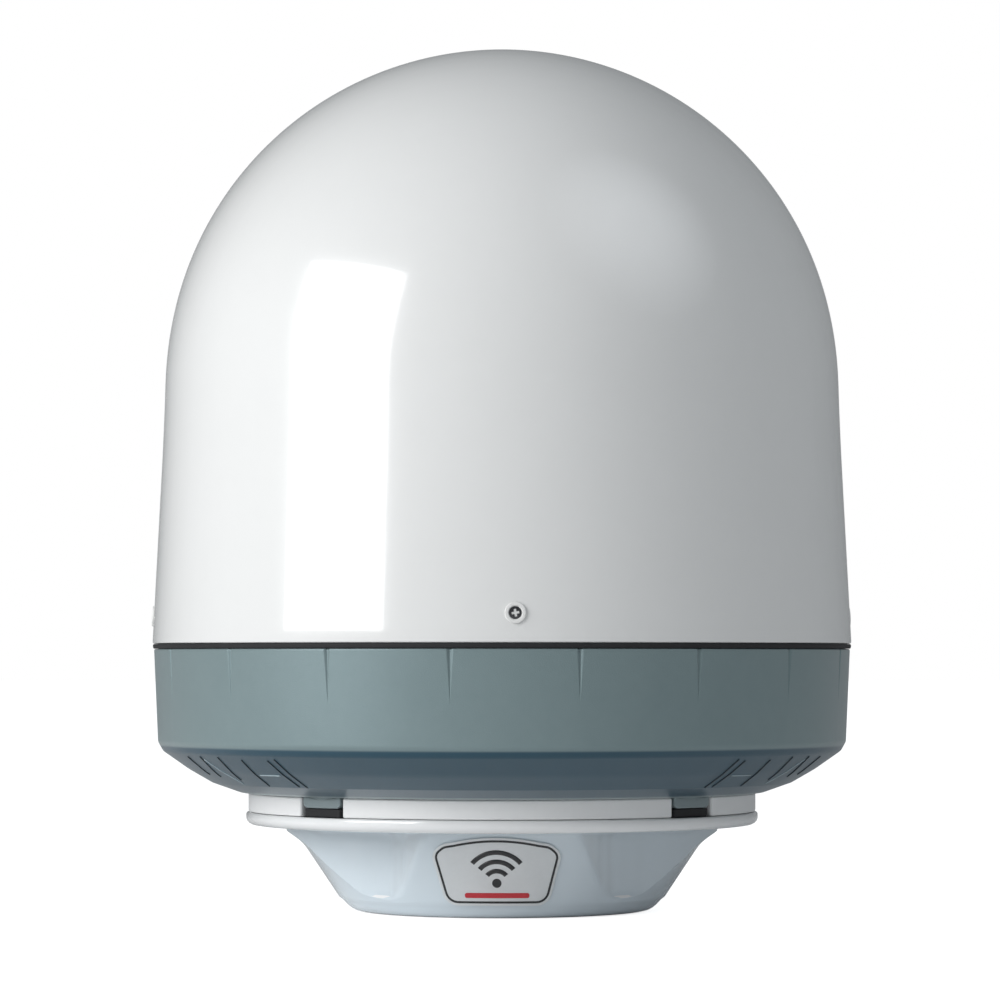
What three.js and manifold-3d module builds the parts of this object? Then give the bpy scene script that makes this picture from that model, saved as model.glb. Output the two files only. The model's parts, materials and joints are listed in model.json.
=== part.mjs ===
// A stabilised satellite antenna under a white radome, bolted to a conical mounting pod.
// Millimetres, +Z up, front towards -Y. The origin is the centre of the pod's flat underside.

import * as THREE from "three";
import { mergeVertices } from "three/addons/utils/BufferGeometryUtils.js";
import Module from "manifold-3d";

const wasm = await Module();
wasm.setup();

// ---------------------------------------------------------------- driving dimensions

// Overall heights, from the underside of the pod upwards.
const flangeUnderside = 61;
const flangeTop = 70;
const panUnderside = 84;
const bandFoot = 116.5;
const bandTop = 184.8;
const radomeFoot = 188.6;
const crownCentre = 372.6;

// Radii.
const crownRadius = 238.5;
const radomeFootRadius = 247.8;
const gasketRadius = 249;
const bandTopRadius = 246.7;
const bandFootRadius = 243.5;
const flangeRadius = 181.4;
const spacerRadius = 179.8;
const podFootRadius = 109;
const podSlope = 0.67;

// Walls and gaps.
const radomeWall = 3.5;
const panWall = 5.3;
const podWall = 6;
const gap = 0.3;

// Repeated features.
const fluteCount = 18;
const fluteLength = 37;
const fluteHalfWidth = 2.15;
const screwCount = 4;
const screwHeight = 208;
const housingTurn = 2;
const badgeTurn = -1.6;
const footWidth = 36;
const stationTurn = 1.5;
const boltCircle = 160;
const boltRadius = 4;
const pocketFloor = 10.5;
// The pocket walls in plan: bearing from the front or rear, and radius.
const pocketPlan = [
  [12, 176], [20, 149], [28, 132.5], [34, 122.5], [41, 116.5], [48, 116.6], [55, 119.4], [62, 126.2],
  [71, 135], [80, 144], [90, 152],
];
const counterboreRadius = 8.6;
const counterboreTop = 66.5;

// Mechanism.
const gearModule = 2;
const ringTeeth = 60;
const ringPinionTeeth = 15;
const sectorTeeth = 60;
const smallPinionTeeth = 12;
const skewTeeth = 36;
const restElevation = 40;
const sectorPinionAngle = -45;
const armInside = 156;
const armThickness = 8;
const dishRadius = 215;
const dishFocus = 150;
const dishVertex = -18;
const dishWall = 2.5;

// Roundness: how many flat facets go round each turned piece.
const panFacets = 54;
const largeFacets = 48;
const mediumFacets = 24;
const smallFacets = 16;

// ---------------------------------------------------------------- making solids

// Welds a closed geometry into a solid with its faces out.
function solid(geometry) {
  const weldDistance = 1e-4;
  const bare = geometry.clone();
  bare.deleteAttribute("normal");
  bare.deleteAttribute("uv");
  const welded = mergeVertices(bare, weldDistance);
  const place = welded.attributes.position.array;
  const corners = welded.index.array;
  const kept = [];
  let volume = 0;
  for (let i = 0; i < corners.length; i += 3) {
    const [a, b, c] = [corners[i], corners[i + 1], corners[i + 2]];
    if (a === b || b === c || c === a) continue;
    kept.push(a, b, c);
    const [p, q, r] = [a, b, c].map((k) => new THREE.Vector3().fromArray(place, 3 * k));
    volume += p.dot(q.cross(r));
  }
  if (volume < 0) kept.reverse();
  return new wasm.Manifold(new wasm.Mesh({
    numProp: 3,
    vertProperties: Float32Array.from(place),
    triVerts: Uint32Array.from(kept),
  }));
}

// Turns an outline of [radius, height] pairs about +Z.
function turned(outline, facets = largeFacets) {
  const points = outline.map(([radius, height]) => new THREE.Vector2(radius, height));
  return solid(new THREE.LatheGeometry(points, facets).rotateX(Math.PI / 2));
}

// A tube, washer or ring standing on +Z; with no hole it is a plain cylinder.
function ring(inner, outer, low, high, facets = smallFacets) {
  if (inner === 0) return turned([[0, low], [outer, low], [outer, high], [0, high]], facets);
  return turned([[inner, low], [outer, low], [outer, high], [inner, high], [inner, low]], facets);
}

// A block given by its lowest and highest corners.
function block(low, high) {
  const size = high.map((value, axis) => value - low[axis]);
  const middle = high.map((value, axis) => (value + low[axis]) / 2);
  return solid(new THREE.BoxGeometry(...size).translate(...middle));
}

// An outline raised along +Z between two heights, then placed by a matrix.
function raised(shape, low, high, matrix = new THREE.Matrix4(), curveSegments = 6) {
  const geometry = new THREE.ExtrudeGeometry(shape, {
    depth: high - low,
    bevelEnabled: false,
    curveSegments,
  });
  return solid(geometry.translate(0, 0, low).applyMatrix4(matrix));
}

// A closed shape through [x, y] pairs.
function outlineOf(pairs) {
  return new THREE.Shape(pairs.map(([x, y]) => new THREE.Vector2(x, y)));
}

// Moves a finished solid by a matrix.
function moved(piece, matrix) {
  return piece.transform(matrix.elements);
}

function degrees(angle) {
  return THREE.MathUtils.degToRad(angle);
}

function turnZ(angle) {
  return new THREE.Matrix4().makeRotationZ(degrees(angle));
}

function shift(x, y, z) {
  return new THREE.Matrix4().makeTranslation(x, y, z);
}

// Outlines drawn in (y, z) and raised along +X.
const alongX = new THREE.Matrix4().makeBasis(
  new THREE.Vector3(0, 1, 0),
  new THREE.Vector3(0, 0, 1),
  new THREE.Vector3(1, 0, 0),
);

// Joins every solid in a list.
function joined(pieces) {
  return pieces.reduce((whole, piece) => whole.add(piece));
}

function cut(piece, cutters) {
  return cutters.reduce((left, cutter) => left.subtract(cutter), piece);
}

// The four corner stations, at 45 degrees between front, sides and rear.
const stations = [
  { name: "front_left", angle: 225 + stationTurn },
  { name: "front_right", angle: 315 + stationTurn },
  { name: "rear_right", angle: 45 + stationTurn },
  { name: "rear_left", angle: 135 + stationTurn },
];

// ---------------------------------------------------------------- colours

function look(color, roughness, metalness = 0) {
  return new THREE.MeshStandardMaterial({ color, roughness, metalness });
}

const radomeWhite = look(0xf1f2f0, 0.15);
const panGrey = look(0x7e8c8e, 0.5);
const podWhite = look(0xdfe6ea, 0.3);
const spacerWhite = look(0xf0f1f0, 0.4);
const rubberBlack = look(0x151617, 0.8);
const badgeSilver = look(0xb6b8bb, 0.35, 0.6);
const steel = look(0xb9bcc0, 0.3, 1);
const aluminium = look(0xc3c6c9, 0.4, 1);
const dishWhite = look(0xe6e6e2, 0.45);
const blackPlastic = look(0x202224, 0.5);
const gearNylon = look(0xe8e4d6, 0.55);
const boardGreen = look(0x1f5a38, 0.5);
const castGrey = look(0x8d9295, 0.6, 0.6);

const antenna = new THREE.Group();

// Adds one named piece to a group.
function add(name, piece, material, group = antenna) {
  const { vertProperties, triVerts } = piece.getMesh();
  const geometry = new THREE.BufferGeometry();
  geometry.setAttribute("position", new THREE.BufferAttribute(vertProperties, 3));
  geometry.setIndex(new THREE.BufferAttribute(triVerts, 1));
  geometry.computeVertexNormals();
  const mesh = new THREE.Mesh(geometry, material);
  mesh.name = name;
  group.add(mesh);
}

// ---------------------------------------------------------------- mounting pod

// Outer radius of the pod's cone at a height.
function podRadius(height) {
  return podFootRadius + podSlope * height;
}

// The shape cut away beside the pod, front and rear at once: everything outside the pocket walls.
function pocketCutter(side, inset, floor) {
  const half = pocketPlan.map(([bearing, radius]) => {
    const turn = degrees(bearing);
    return [side * (radius - inset) * Math.sin(turn), (inset - radius) * Math.cos(turn)];
  });
  const rear = half.slice(0, -1).reverse().map(([x, y]) => [x, -y]);
  const beyond = flangeRadius + 60;
  const outer = [[60, beyond], [beyond, beyond], [beyond, -beyond], [60, -beyond]]
    .map(([x, y]) => [side * x, y]);
  return raised(outlineOf([...half, ...rear, ...outer]), floor, flangeTop + 10);
}

function mountingPod() {
  const sides = [-1, 1];
  const cone = turned([
    [0, 0], [100, 0], [105, 1.2], [109, 3.8], [112.5, 7], [podRadius(10), 10],
    [podRadius(flangeUnderside + 1), flangeUnderside + 1], [0, flangeUnderside + 1],
  ]);
  const flange = turned([
    [0, flangeUnderside], [flangeRadius - 6, flangeUnderside], [flangeRadius - 2.2, flangeUnderside + 1.5],
    [flangeRadius, flangeUnderside + 5], [flangeRadius, flangeTop - 1], [flangeRadius - 1, flangeTop],
    [0, flangeTop],
  ]);
  const floorTop = 8;
  const coneCavity = turned([
    [0, floorTop], [podRadius(floorTop) - podWall - 2, floorTop],
    [podRadius(flangeUnderside) - podWall - 1, flangeUnderside - 1], [0, flangeUnderside - 1],
  ]);
  const innerWalls = sides.map((side) => pocketCutter(side, podWall, 0));
  const cavity = cut(coneCavity, innerWalls);
  const topOpening = ring(0, 105, flangeUnderside - 2, flangeTop + 1, largeFacets);
  const cableHole = ring(0, 25, -1, floorTop + 1);
  const boltHoles = stations.map(({ angle }) =>
    moved(ring(0, boltRadius + 0.4, 50, 80), turnZ(angle).multiply(shift(boltCircle, 0, 0))));
  const counterbores = stations.map(({ angle }) =>
    moved(ring(0, counterboreRadius, 50, counterboreTop), turnZ(angle).multiply(shift(boltCircle, 0, 0))));
  const pocketed = cut(cone, sides.map((side) => pocketCutter(side, 0, pocketFloor)));
  return cut(pocketed.add(flange), [cavity, topOpening, cableHole, ...boltHoles, ...counterbores]);
}

// The badge's outline as seen from the front: domed top, sides drawn in to a narrower foot.
function badgeOutline() {
  const shape = new THREE.Shape();
  shape.moveTo(-26, 9.5);
  shape.lineTo(26, 9.5);
  shape.quadraticCurveTo(33, 9.5, 35, 16);
  shape.lineTo(42.5, 42);
  shape.quadraticCurveTo(44, 49, 37, 52);
  shape.quadraticCurveTo(20, 57, 0, 57);
  shape.quadraticCurveTo(-20, 57, -37, 52);
  shape.quadraticCurveTo(-44, 49, -42.5, 42);
  shape.lineTo(-35, 16);
  shape.quadraticCurveTo(-33, 9.5, -26, 9.5);
  return shape;
}

// A thin plate that follows the pod's cone behind that outline.
function podBadge() {
  const thickness = 1.2;
  const skin = turned([
    [podRadius(5) + gap, 5], [podRadius(5) + gap + thickness, 5],
    [podRadius(60) + gap + thickness, 60], [podRadius(60) + gap, 60], [podRadius(5) + gap, 5],
  ]);
  const towardsFront = new THREE.Matrix4().makeBasis(
    new THREE.Vector3(1, 0, 0),
    new THREE.Vector3(0, 0, 1),
    new THREE.Vector3(0, -1, 0),
  );
  const behindOutline = raised(badgeOutline(), 50, 180, turnZ(badgeTurn).multiply(towardsFront));
  return skin.intersect(behindOutline);
}

function spacerRing() {
  const inner = 128;
  const low = flangeTop + gap;
  const high = panUnderside - gap;
  const edge = 1.2;
  const body = turned([
    [inner, low], [spacerRadius - edge, low], [spacerRadius, low + edge],
    [spacerRadius, high - edge], [spacerRadius - edge, high], [inner, high], [inner, low],
  ]);
  const notch = block([138, -footWidth / 2 - 2, 60], [200, footWidth / 2 + 2, 90]);
  return cut(body, stations.map(({ angle }) => moved(notch, turnZ(angle))));
}

const padTop = flangeTop + 6;

function rubberPad() {
  const pad = block([141.5, -footWidth / 2 + 0.4, flangeTop + gap], [178, footWidth / 2 - 0.4, padTop]);
  return pad.subtract(moved(ring(0, boltRadius + 0.4, 60, 90), shift(boltCircle, 0, 0)));
}

// Socket-head bolt, sunk in the flange's counterbore and pushed up through flange, pad and foot.
function mountingBolt() {
  const seat = counterboreTop - gap;
  const head = ring(0, 7.5, seat - 4.9, seat);
  const socket = ring(0, 3, seat - 10, seat - 2.2, 6);
  const shank = ring(0, boltRadius, seat - 1, panUnderside + 11);
  return moved(cut(joined([head, shank]), [socket]), shift(boltCircle, 0, 0));
}

add("mounting_pod", mountingPod(), podWhite);
add("pod_badge", podBadge(), badgeSilver);
add("spacer_ring", spacerRing(), spacerWhite);
for (const { name, angle } of stations) {
  add(`rubber_pad_${name}`, moved(rubberPad(), turnZ(angle)), rubberBlack);
  add(`mounting_bolt_${name}`, moved(mountingBolt(), turnZ(angle)), steel);
}

// ---------------------------------------------------------------- base pan and its fittings

// Outer radius of the radome's drum at a height.
function drumRadius(height) {
  const share = (height - radomeFoot) / (crownCentre - radomeFoot);
  return radomeFootRadius + (crownRadius - radomeFootRadius) * share;
}

// Radius of the pan's upstanding rim, which the radome slides over.
function rimRadius(height) {
  return drumRadius(height) - radomeWall - 0.9;
}

// The radome and pan sit turned a little on the pod.
const screwAngles = [270, 0, 90, 180].map((angle) => angle + housingTurn);
const screwFacets = 12;
const drumDraft = Math.atan2(radomeFootRadius - crownRadius, crownCentre - radomeFoot);

// Places a screw piece, built along +Z with its seat at zero, square on the drum's wall.
function onDrum(angle) {
  const lean = new THREE.Matrix4().makeRotationY(Math.PI / 2 - drumDraft);
  return turnZ(angle).multiply(shift(drumRadius(screwHeight), 0, screwHeight)).multiply(lean);
}

// One flute: a slender groove, widest at the band's top and fading out below.
function fluteCutter(angle) {
  const lean = Math.atan2(bandTopRadius - bandFootRadius, bandTop - bandFoot);
  const groove = new THREE.ConeGeometry(fluteHalfWidth * 1.15, fluteLength, 6)
    .rotateX(-Math.PI / 2)
    .translate(0, 0, -fluteLength / 2 + 1)
    .rotateY(lean);
  const place = turnZ(angle).multiply(shift(bandTopRadius, 0, bandTop));
  return solid(groove.applyMatrix4(place));
}

// A foot moulded under the pan: round lower corners, flared where it meets the pan.
function foot() {
  const half = footWidth / 2;
  const low = padTop + gap;
  const high = panUnderside + 1;
  const shape = new THREE.Shape();
  shape.moveTo(-half + 3, low);
  shape.lineTo(half - 3, low);
  shape.quadraticCurveTo(half, low, half, low + 3);
  shape.lineTo(half, high);
  shape.lineTo(-half, high);
  shape.lineTo(-half, low + 3);
  shape.quadraticCurveTo(-half, low, -half + 3, low);
  return raised(shape, 141, 178.5, alongX, 3);
}

const panFloor = panUnderside + panWall;

function basePan() {
  const shell = turned([
    [0, panUnderside], [187.3, panUnderside], [203.6, 89.9], [222, 100.2], [240, 112.7],
    [bandFootRadius, bandFoot], [bandTopRadius, bandTop], [rimRadius(bandTop), bandTop],
    [rimRadius(222), 222], [rimRadius(222) - 3.5, 222], [rimRadius(bandTop) - 4.5, bandTop - 3],
    [bandFootRadius - 6, bandFoot + 2], [185.5, panFloor], [0, panFloor],
  ], panFacets);
  const feet = stations.map(({ angle }) => moved(foot(), turnZ(angle)));
  const atBolt = ({ angle }) => turnZ(angle).multiply(shift(boltCircle, 0, 0));
  const bosses = stations.map((station) =>
    moved(ring(0, 10, panFloor - 1, panUnderside + 14), atBolt(station)));
  const boltHoles = stations.map((station) =>
    moved(ring(0, boltRadius + 0.4, 60, panUnderside + 11.5), atBolt(station)));
  const flutes = Array.from({ length: fluteCount }, (_, i) =>
    fluteCutter(housingTurn - 100 + (360 / fluteCount) * i));
  const screwHoles = screwAngles.map((angle) => moved(ring(0, 2.3, -30, 0, 12), onDrum(angle)));
  const connectorHoles = connectors.map(({ x, radius }) =>
    moved(ring(0, radius + 0.4, 70, 110), shift(x, connectorLine, 0)));
  const standoffs = boardFeet.map(([x, y]) => moved(ring(0, 3.5, panFloor - 1, 95), shift(x, y, 0)));
  const body = joined([shell, ...feet, ...bosses, ...standoffs]);
  return cut(body, [...boltHoles, ...flutes, ...screwHoles, ...connectorHoles]);
}

// Plugs through the pan's floor, over the pod's cavity.
const connectorLine = 92;
const connectorRise = 0.8;
const connectors = [
  { name: "power_connector", x: 0, radius: 9 },
  { name: "signal_connector_left", x: -26, radius: 5.5 },
  { name: "signal_connector_right", x: 26, radius: 5.5 },
];

// A threaded barrel with a hexagon collar drawn up against the pan's underside.
function connector(radius) {
  const collarTop = panUnderside - gap;
  const barrel = ring(radius - 2.5, radius, 62, panFloor + connectorRise, 12);
  const collar = ring(radius - 2.5, radius + 4, collarTop - 4, collarTop, 6);
  const plug = ring(0, radius - 2, 78, panFloor + connectorRise, 12);
  return joined([barrel, collar, plug]);
}

const boardFeet = [[-60, 118], [60, 118], [-60, 158], [60, 158]];

// The supply board at the rear of the pan's floor, with its coil and capacitors.
function powerBoard() {
  const low = 95 + gap;
  const board = block([-66, 112, low], [66, 164, low + 1.6]);
  const coil = block([-44, 124, low + 1], [-20, 152, low + 6.5]);
  const capacitors = [8, 26, 44].map((x) => moved(ring(0, 6, low + 1, low + 6.5, 12), shift(x, 138, 0)));
  return joined([board, coil, ...capacitors]);
}

function radomeGasket() {
  const inner = rimRadius(bandTop) + gap;
  return ring(inner, gasketRadius, bandTop + gap, radomeFoot - gap, panFacets);
}

add("base_pan", basePan(), panGrey);
add("radome_gasket", radomeGasket(), rubberBlack);
for (const { name, x, radius } of connectors) {
  add(name, moved(connector(radius), shift(x, connectorLine, 0)), steel);
}
add("power_board", powerBoard(), boardGreen);

// ---------------------------------------------------------------- radome

// Outline of the radome at a distance in from its outer face, from the apex down.
function radomeOutline(inset) {
  const steps = 9;
  const points = [];
  for (let i = 0; i <= steps; i += 1) {
    const angle = (Math.PI / 2) * (1 - i / steps);
    const radius = crownRadius - inset;
    points.push([i === 0 ? 0 : radius * Math.cos(angle), crownCentre + radius * Math.sin(angle)]);
  }
  points.push([radomeFootRadius - inset, radomeFoot]);
  return points;
}

function radomeShell() {
  const shell = turned([...radomeOutline(0), ...radomeOutline(radomeWall).reverse()]);
  return cut(shell, screwAngles.map((angle) => moved(ring(0, 5.8, -8, 8), onDrum(angle))));
}

// The ring round each screw: a rim outside the wall and a stepped sleeve through it.
function screwCup() {
  return turned([
    [2.4, -3.4], [5.4, -3.4], [5.4, 0.45], [7.15, 0.45], [7.15, 1], [6.2, 1.5], [4.6, 1.5], [4.6, -1.4],
    [2.4, -1.4], [2.4, -3.4],
  ], screwFacets);
}

function radomeScrew() {
  const head = ring(0, 4.2, -1.1, 0.9, screwFacets);
  const socket = ring(0, 2.1, 0, 2, 6);
  const shank = ring(0, 2, -14, -1, 8);
  return head.add(shank).subtract(socket);
}

add("radome_shell", radomeShell(), radomeWhite);
const screwNames = ["front", "right", "rear", "left"];
for (let i = 0; i < screwCount; i += 1) {
  const place = onDrum(screwAngles[i]);
  add(`screw_cup_${screwNames[i]}`, moved(screwCup(), place), radomeWhite);
  add(`radome_screw_${screwNames[i]}`, moved(radomeScrew(), place), steel);
}

// ---------------------------------------------------------------- gears

function pitchRadius(teeth) {
  return (gearModule * teeth) / 2;
}

// Tooth outline points round a gear; first and last tooth numbers give a full gear or a sector.
function toothPoints(teeth, first, last, startAngle) {
  const pitch = 360 / teeth;
  const tip = pitchRadius(teeth) + 0.85 * gearModule;
  const root = pitchRadius(teeth) - 1.05 * gearModule;
  const rootHalf = 0.27 * pitch;
  const tipHalf = 0.11 * pitch;
  const points = [];
  for (let i = first; i <= last; i += 1) {
    const centre = startAngle + i * pitch;
    const corners = [[root, -rootHalf], [tip, -tipHalf], [tip, tipHalf], [root, rootHalf]];
    for (const [radius, offset] of corners) {
      const angle = degrees(centre + offset);
      points.push([radius * Math.cos(angle), radius * Math.sin(angle)]);
    }
  }
  return points;
}

function gear(teeth, startAngle, low, high, bore = 0) {
  const body = raised(outlineOf(toothPoints(teeth, 0, teeth - 1, startAngle)), low, high);
  return bore ? body.subtract(ring(0, bore, low - 1, high + 1)) : body;
}

// ---------------------------------------------------------------- azimuth stage

const hubBore = 24 + gap;
const turntableLow = 104;
const turntableHigh = 110;
const turntableRadius = 176;
const hubHigh = 148;
const postRadius = 18;
const azimuthReach = pitchRadius(ringTeeth) + pitchRadius(ringPinionTeeth);

function azimuthPost() {
  const low = panFloor + gap;
  return turned([
    [11, low], [40, low], [40, low + 4], [postRadius, low + 8], [postRadius, hubHigh + 2], [11, hubHigh + 2],
    [11, low],
  ], mediumFacets);
}

function azimuthRingGear() {
  return gear(ringTeeth, 0, panFloor + gap, 99, 42);
}

// Pinion and shaft below the motor; its gap faces the ring gear.
function azimuthPinion() {
  const pinion = gear(ringPinionTeeth, 180 / ringPinionTeeth, 90.6, 98.6);
  return moved(pinion.add(ring(0, 2.5, 98, 118, 12)), shift(-azimuthReach, 0, 0));
}

// A square stepper motor with chamfered edges, its face down at zero height, bored for the shaft.
function squareMotor(side, length, bore) {
  const half = side / 2;
  const corner = side * 0.12;
  const outline = outlineOf([
    [-half + corner, -half], [half - corner, -half], [half, -half + corner], [half, half - corner],
    [half - corner, half], [-half + corner, half], [-half, half - corner], [-half, -half + corner],
  ]);
  const body = raised(outline, 0, length);
  const bell = ring(0, side * 0.4, length - 1, length + 2);
  return body.add(bell).subtract(ring(0, bore, -1, 14, 12));
}

const controlBoardFeet = [[66, -38], [134, -38], [66, 38], [134, 38]];

function turntable() {
  const plate = turned([
    [hubBore, turntableLow], [turntableRadius, turntableLow], [turntableRadius, turntableHigh],
    [34, turntableHigh], [34, hubHigh], [hubBore, hubHigh], [hubBore, turntableLow],
  ]);
  const shaftHole = moved(ring(0, 4, 100, 115), shift(-azimuthReach, 0, 0));
  const windows = [60, 120, 240, 300].map((angle) =>
    moved(ring(0, 28, 100, 115), turnZ(angle).multiply(shift(105, 0, 0))));
  const standoffs = controlBoardFeet.map(([x, y]) => moved(ring(0, 3.5, 109, 118, 12), shift(x, y, 0)));
  return joined([cut(plate, [shaftHole, ...windows]), ...standoffs]);
}

function bearing(low) {
  return ring(postRadius + gap, 24, low, low + 8, mediumFacets);
}

function controlBoard() {
  const low = 118 + gap;
  const board = block([60, -44, low], [140, 44, low + 1.6]);
  const processor = block([88, -14, low + 1], [112, 10, low + 4]);
  const shield = block([68, 18, low + 1], [106, 38, low + 8]);
  const header = block([124, -30, low + 1], [134, 20, low + 10]);
  return joined([board, processor, shield, header]);
}

function rotaryStator() {
  return ring(0, 10.6, 92, 149, 20);
}

function rotaryRotor() {
  const low = hubHigh + 2 + gap;
  return ring(0, 17, low, low + 14).add(ring(0, 9, low + 13, low + 24));
}

// A bundle of wires from the rotary joint down to the control board.
function boardHarness() {
  const route = new THREE.CatmullRomCurve3([
    new THREE.Vector3(17.6, 0, 158), new THREE.Vector3(40, 0, 163), new THREE.Vector3(80, 2, 150),
    new THREE.Vector3(118, -2, 146), new THREE.Vector3(129, -5, 131),
  ]);
  const section = new THREE.Shape().absarc(0, 0, 2.4, 0, 2 * Math.PI);
  return solid(new THREE.ExtrudeGeometry(section, { steps: 14, extrudePath: route, curveSegments: 2 }));
}

// One upright arm: a plate with a foot, a round head with the bearing seat, and a slot to lighten it.
function arm(side, withMotorEar) {
  const foot = turntableHigh + gap;
  const plate = raised(outlineOf([
    [-42, foot], [42, foot], [42, foot + 7], [18, foot + 50], [16, crownCentre], [-16, crownCentre],
    [-18, foot + 50], [-42, foot + 7],
  ]), armInside, armInside + armThickness, alongX);
  const toe = block([armInside - 16, -42, foot], [armInside + 2, 42, foot + 6]);
  const headPlace = shift(0, 0, crownCentre).multiply(alongX);
  const head = moved(ring(0, 17.5, armInside, armInside + armThickness, mediumFacets), headPlace);
  const seat = moved(ring(0, 14, armInside - 1, armInside + armThickness + 1), headPlace);
  const window = block([armInside - 1, -8, foot + 60], [armInside + 9, 8, foot + 170]);
  let body = joined([plate, toe, head]);
  if (withMotorEar) {
    const earPlace = shift(0, earY, earZ).multiply(alongX);
    const ear = moved(ring(0, 20, armInside, armInside + armThickness, mediumFacets), earPlace);
    const web = block([armInside, 0, earZ - 18], [armInside + armThickness, earY, earZ + 18]);
    const shaftHole = moved(ring(0, 5, armInside - 1, armInside + armThickness + 1), earPlace);
    body = joined([body, ear, web]).subtract(shaftHole);
  }
  body = cut(body, [seat, window]);
  return side < 0 ? moved(body, turnZ(180)) : body;
}

const elevationReach = pitchRadius(sectorTeeth) + pitchRadius(smallPinionTeeth);
const earY = elevationReach * Math.cos(degrees(sectorPinionAngle));
const earZ = crownCentre + elevationReach * Math.sin(degrees(sectorPinionAngle));

function elevationBearing(side) {
  const outer = 14 - gap;
  const start = armInside + 0.2;
  const race = moved(ring(8.2, outer, start, start + 7.6), shift(0, 0, crownCentre).multiply(alongX));
  return side < 0 ? moved(race, turnZ(180)) : race;
}

function elevationMotor() {
  const place = shift(armInside + armThickness + gap, earY, earZ).multiply(alongX);
  return moved(squareMotor(35, 30, 3), place);
}

// Pinion and shaft through the right arm; its gap faces the sector gear.
function elevationPinion() {
  const startAngle = sectorPinionAngle + 180 + 180 / smallPinionTeeth;
  const pinion = gear(smallPinionTeeth, startAngle, 148.6, 153).add(ring(0, 2.5, 152, 176, 12));
  return moved(pinion, shift(0, earY, earZ).multiply(alongX));
}

// Angle sensor on the left arm, hollow where the axle's end turns in it.
function elevationEncoder() {
  const start = armInside + armThickness + gap;
  const cup = ring(0, 15, start, start + 12).subtract(ring(0, 8.4, start - 1, start + 4));
  return moved(cup, turnZ(180).multiply(shift(0, 0, crownCentre)).multiply(alongX));
}

add("azimuth_post", azimuthPost(), castGrey);
add("azimuth_ring_gear", azimuthRingGear(), gearNylon);
add("rotary_joint_stator", rotaryStator(), blackPlastic);
add("azimuth_pinion", azimuthPinion(), steel);
add("turntable", turntable(), aluminium);
add("azimuth_bearing_lower", bearing(turntableLow + 2), steel);
add("azimuth_bearing_upper", bearing(hubHigh - 10), steel);
const azimuthMotorPlace = shift(-azimuthReach, 0, turntableHigh + gap);
add("azimuth_motor", moved(squareMotor(42, 38, 3), azimuthMotorPlace), blackPlastic);
add("control_board", controlBoard(), boardGreen);
add("rotary_joint_rotor", rotaryRotor(), blackPlastic);
add("board_harness", boardHarness(), rubberBlack);
add("arm_left", arm(-1, false), aluminium);
add("arm_right", arm(1, true), aluminium);
add("elevation_bearing_left", elevationBearing(-1), steel);
add("elevation_bearing_right", elevationBearing(1), steel);
add("elevation_motor", elevationMotor(), blackPlastic);
add("elevation_pinion", elevationPinion(), steel);
add("elevation_encoder", elevationEncoder(), blackPlastic);

// ---------------------------------------------------------------- elevation stage

// Built looking along +Z, about the elevation axis, then tipped to the rest elevation.
const tilting = new THREE.Group();
tilting.position.set(0, 0, crownCentre);
tilting.rotation.x = degrees(90 - restElevation);
antenna.add(tilting);

const cheekInside = 142;
const cheekOutside = 148;
const plateBack = -44;
const plateFront = -36;
const skewReach = pitchRadius(skewTeeth) + pitchRadius(smallPinionTeeth);

// Height of the dish's front face at a distance from its axis.
function dishHeight(distance) {
  return dishVertex + (distance * distance) / (4 * dishFocus);
}

function reflectorDish() {
  const steps = 6;
  const hole = 14;
  const front = [];
  for (let i = 0; i <= steps; i += 1) {
    const distance = hole + ((dishRadius - hole) * i) / steps;
    front.push([distance, dishHeight(distance)]);
  }
  const back = front.map(([distance, height]) => [distance, height - dishWall]).reverse();
  const lip = [[dishRadius + 3, dishHeight(dishRadius)], [dishRadius + 3, dishHeight(dishRadius) - dishWall]];
  return turned([...front, ...lip, ...back, front[0]]);
}

function elevationCradle() {
  const plate = block([-cheekOutside, -26, plateBack], [cheekOutside, 26, plateFront]);
  const pieces = [plate];
  for (const side of [-1, 1]) {
    const turn = turnZ(side < 0 ? 180 : 0);
    const cheek = raised(outlineOf([
      [-26, plateBack], [26, plateBack], [26, plateFront], [11, 0], [-11, 0], [-26, plateFront],
    ]), cheekInside, cheekOutside, alongX);
    const boss = moved(ring(0, 11, cheekInside, cheekOutside), alongX);
    const axle = moved(ring(0, 7.9, cheekOutside - 1, armInside + armThickness + 2), alongX);
    pieces.push(...[cheek, boss, axle].map((piece) => moved(piece, turn)));
  }
  const neckHole = ring(0, 16.5, plateBack - 1, plateFront + 1);
  const shaftHole = moved(ring(0, 3, plateBack - 1, plateFront + 1, 12), shift(skewReach, 0, 0));
  return cut(joined(pieces), [neckHole, shaftHole]);
}

// Teeth cover the whole elevation range with one to spare at each end.
function elevationSectorGear() {
  const firstTooth = -6;
  const lastTooth = 7;
  const startAngle = sectorPinionAngle - (90 - restElevation);
  const rim = outlineOf([[0, 0], ...toothPoints(sectorTeeth, firstTooth, lastTooth, startAngle)]);
  const low = cheekOutside + gap;
  const high = low + 4;
  const hub = ring(0, 14, low, high, mediumFacets);
  const window = moved(ring(0, 9, low - 1, high + 1), turnZ(startAngle + 3).multiply(shift(36, 0, 0)));
  return moved(cut(raised(rim, low, high).add(hub), [ring(0, 8.2, low - 1, high + 1), window]), alongX);
}

function dishHub() {
  return ring(18, 32, plateFront + gap, dishHeight(18) - dishWall - gap, mediumFacets);
}

function feedTube() {
  return ring(9, 12, -32.6, 88);
}

function feedCone() {
  return turned([[0, 88 + gap], [13, 88 + gap], [33, 97], [0, 97]], mediumFacets);
}

function subreflector() {
  return turned([[0, 97 + gap], [36, 97 + gap], [44, 99], [44, 101.5], [20, 104], [0, 104]], mediumFacets);
}

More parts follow.
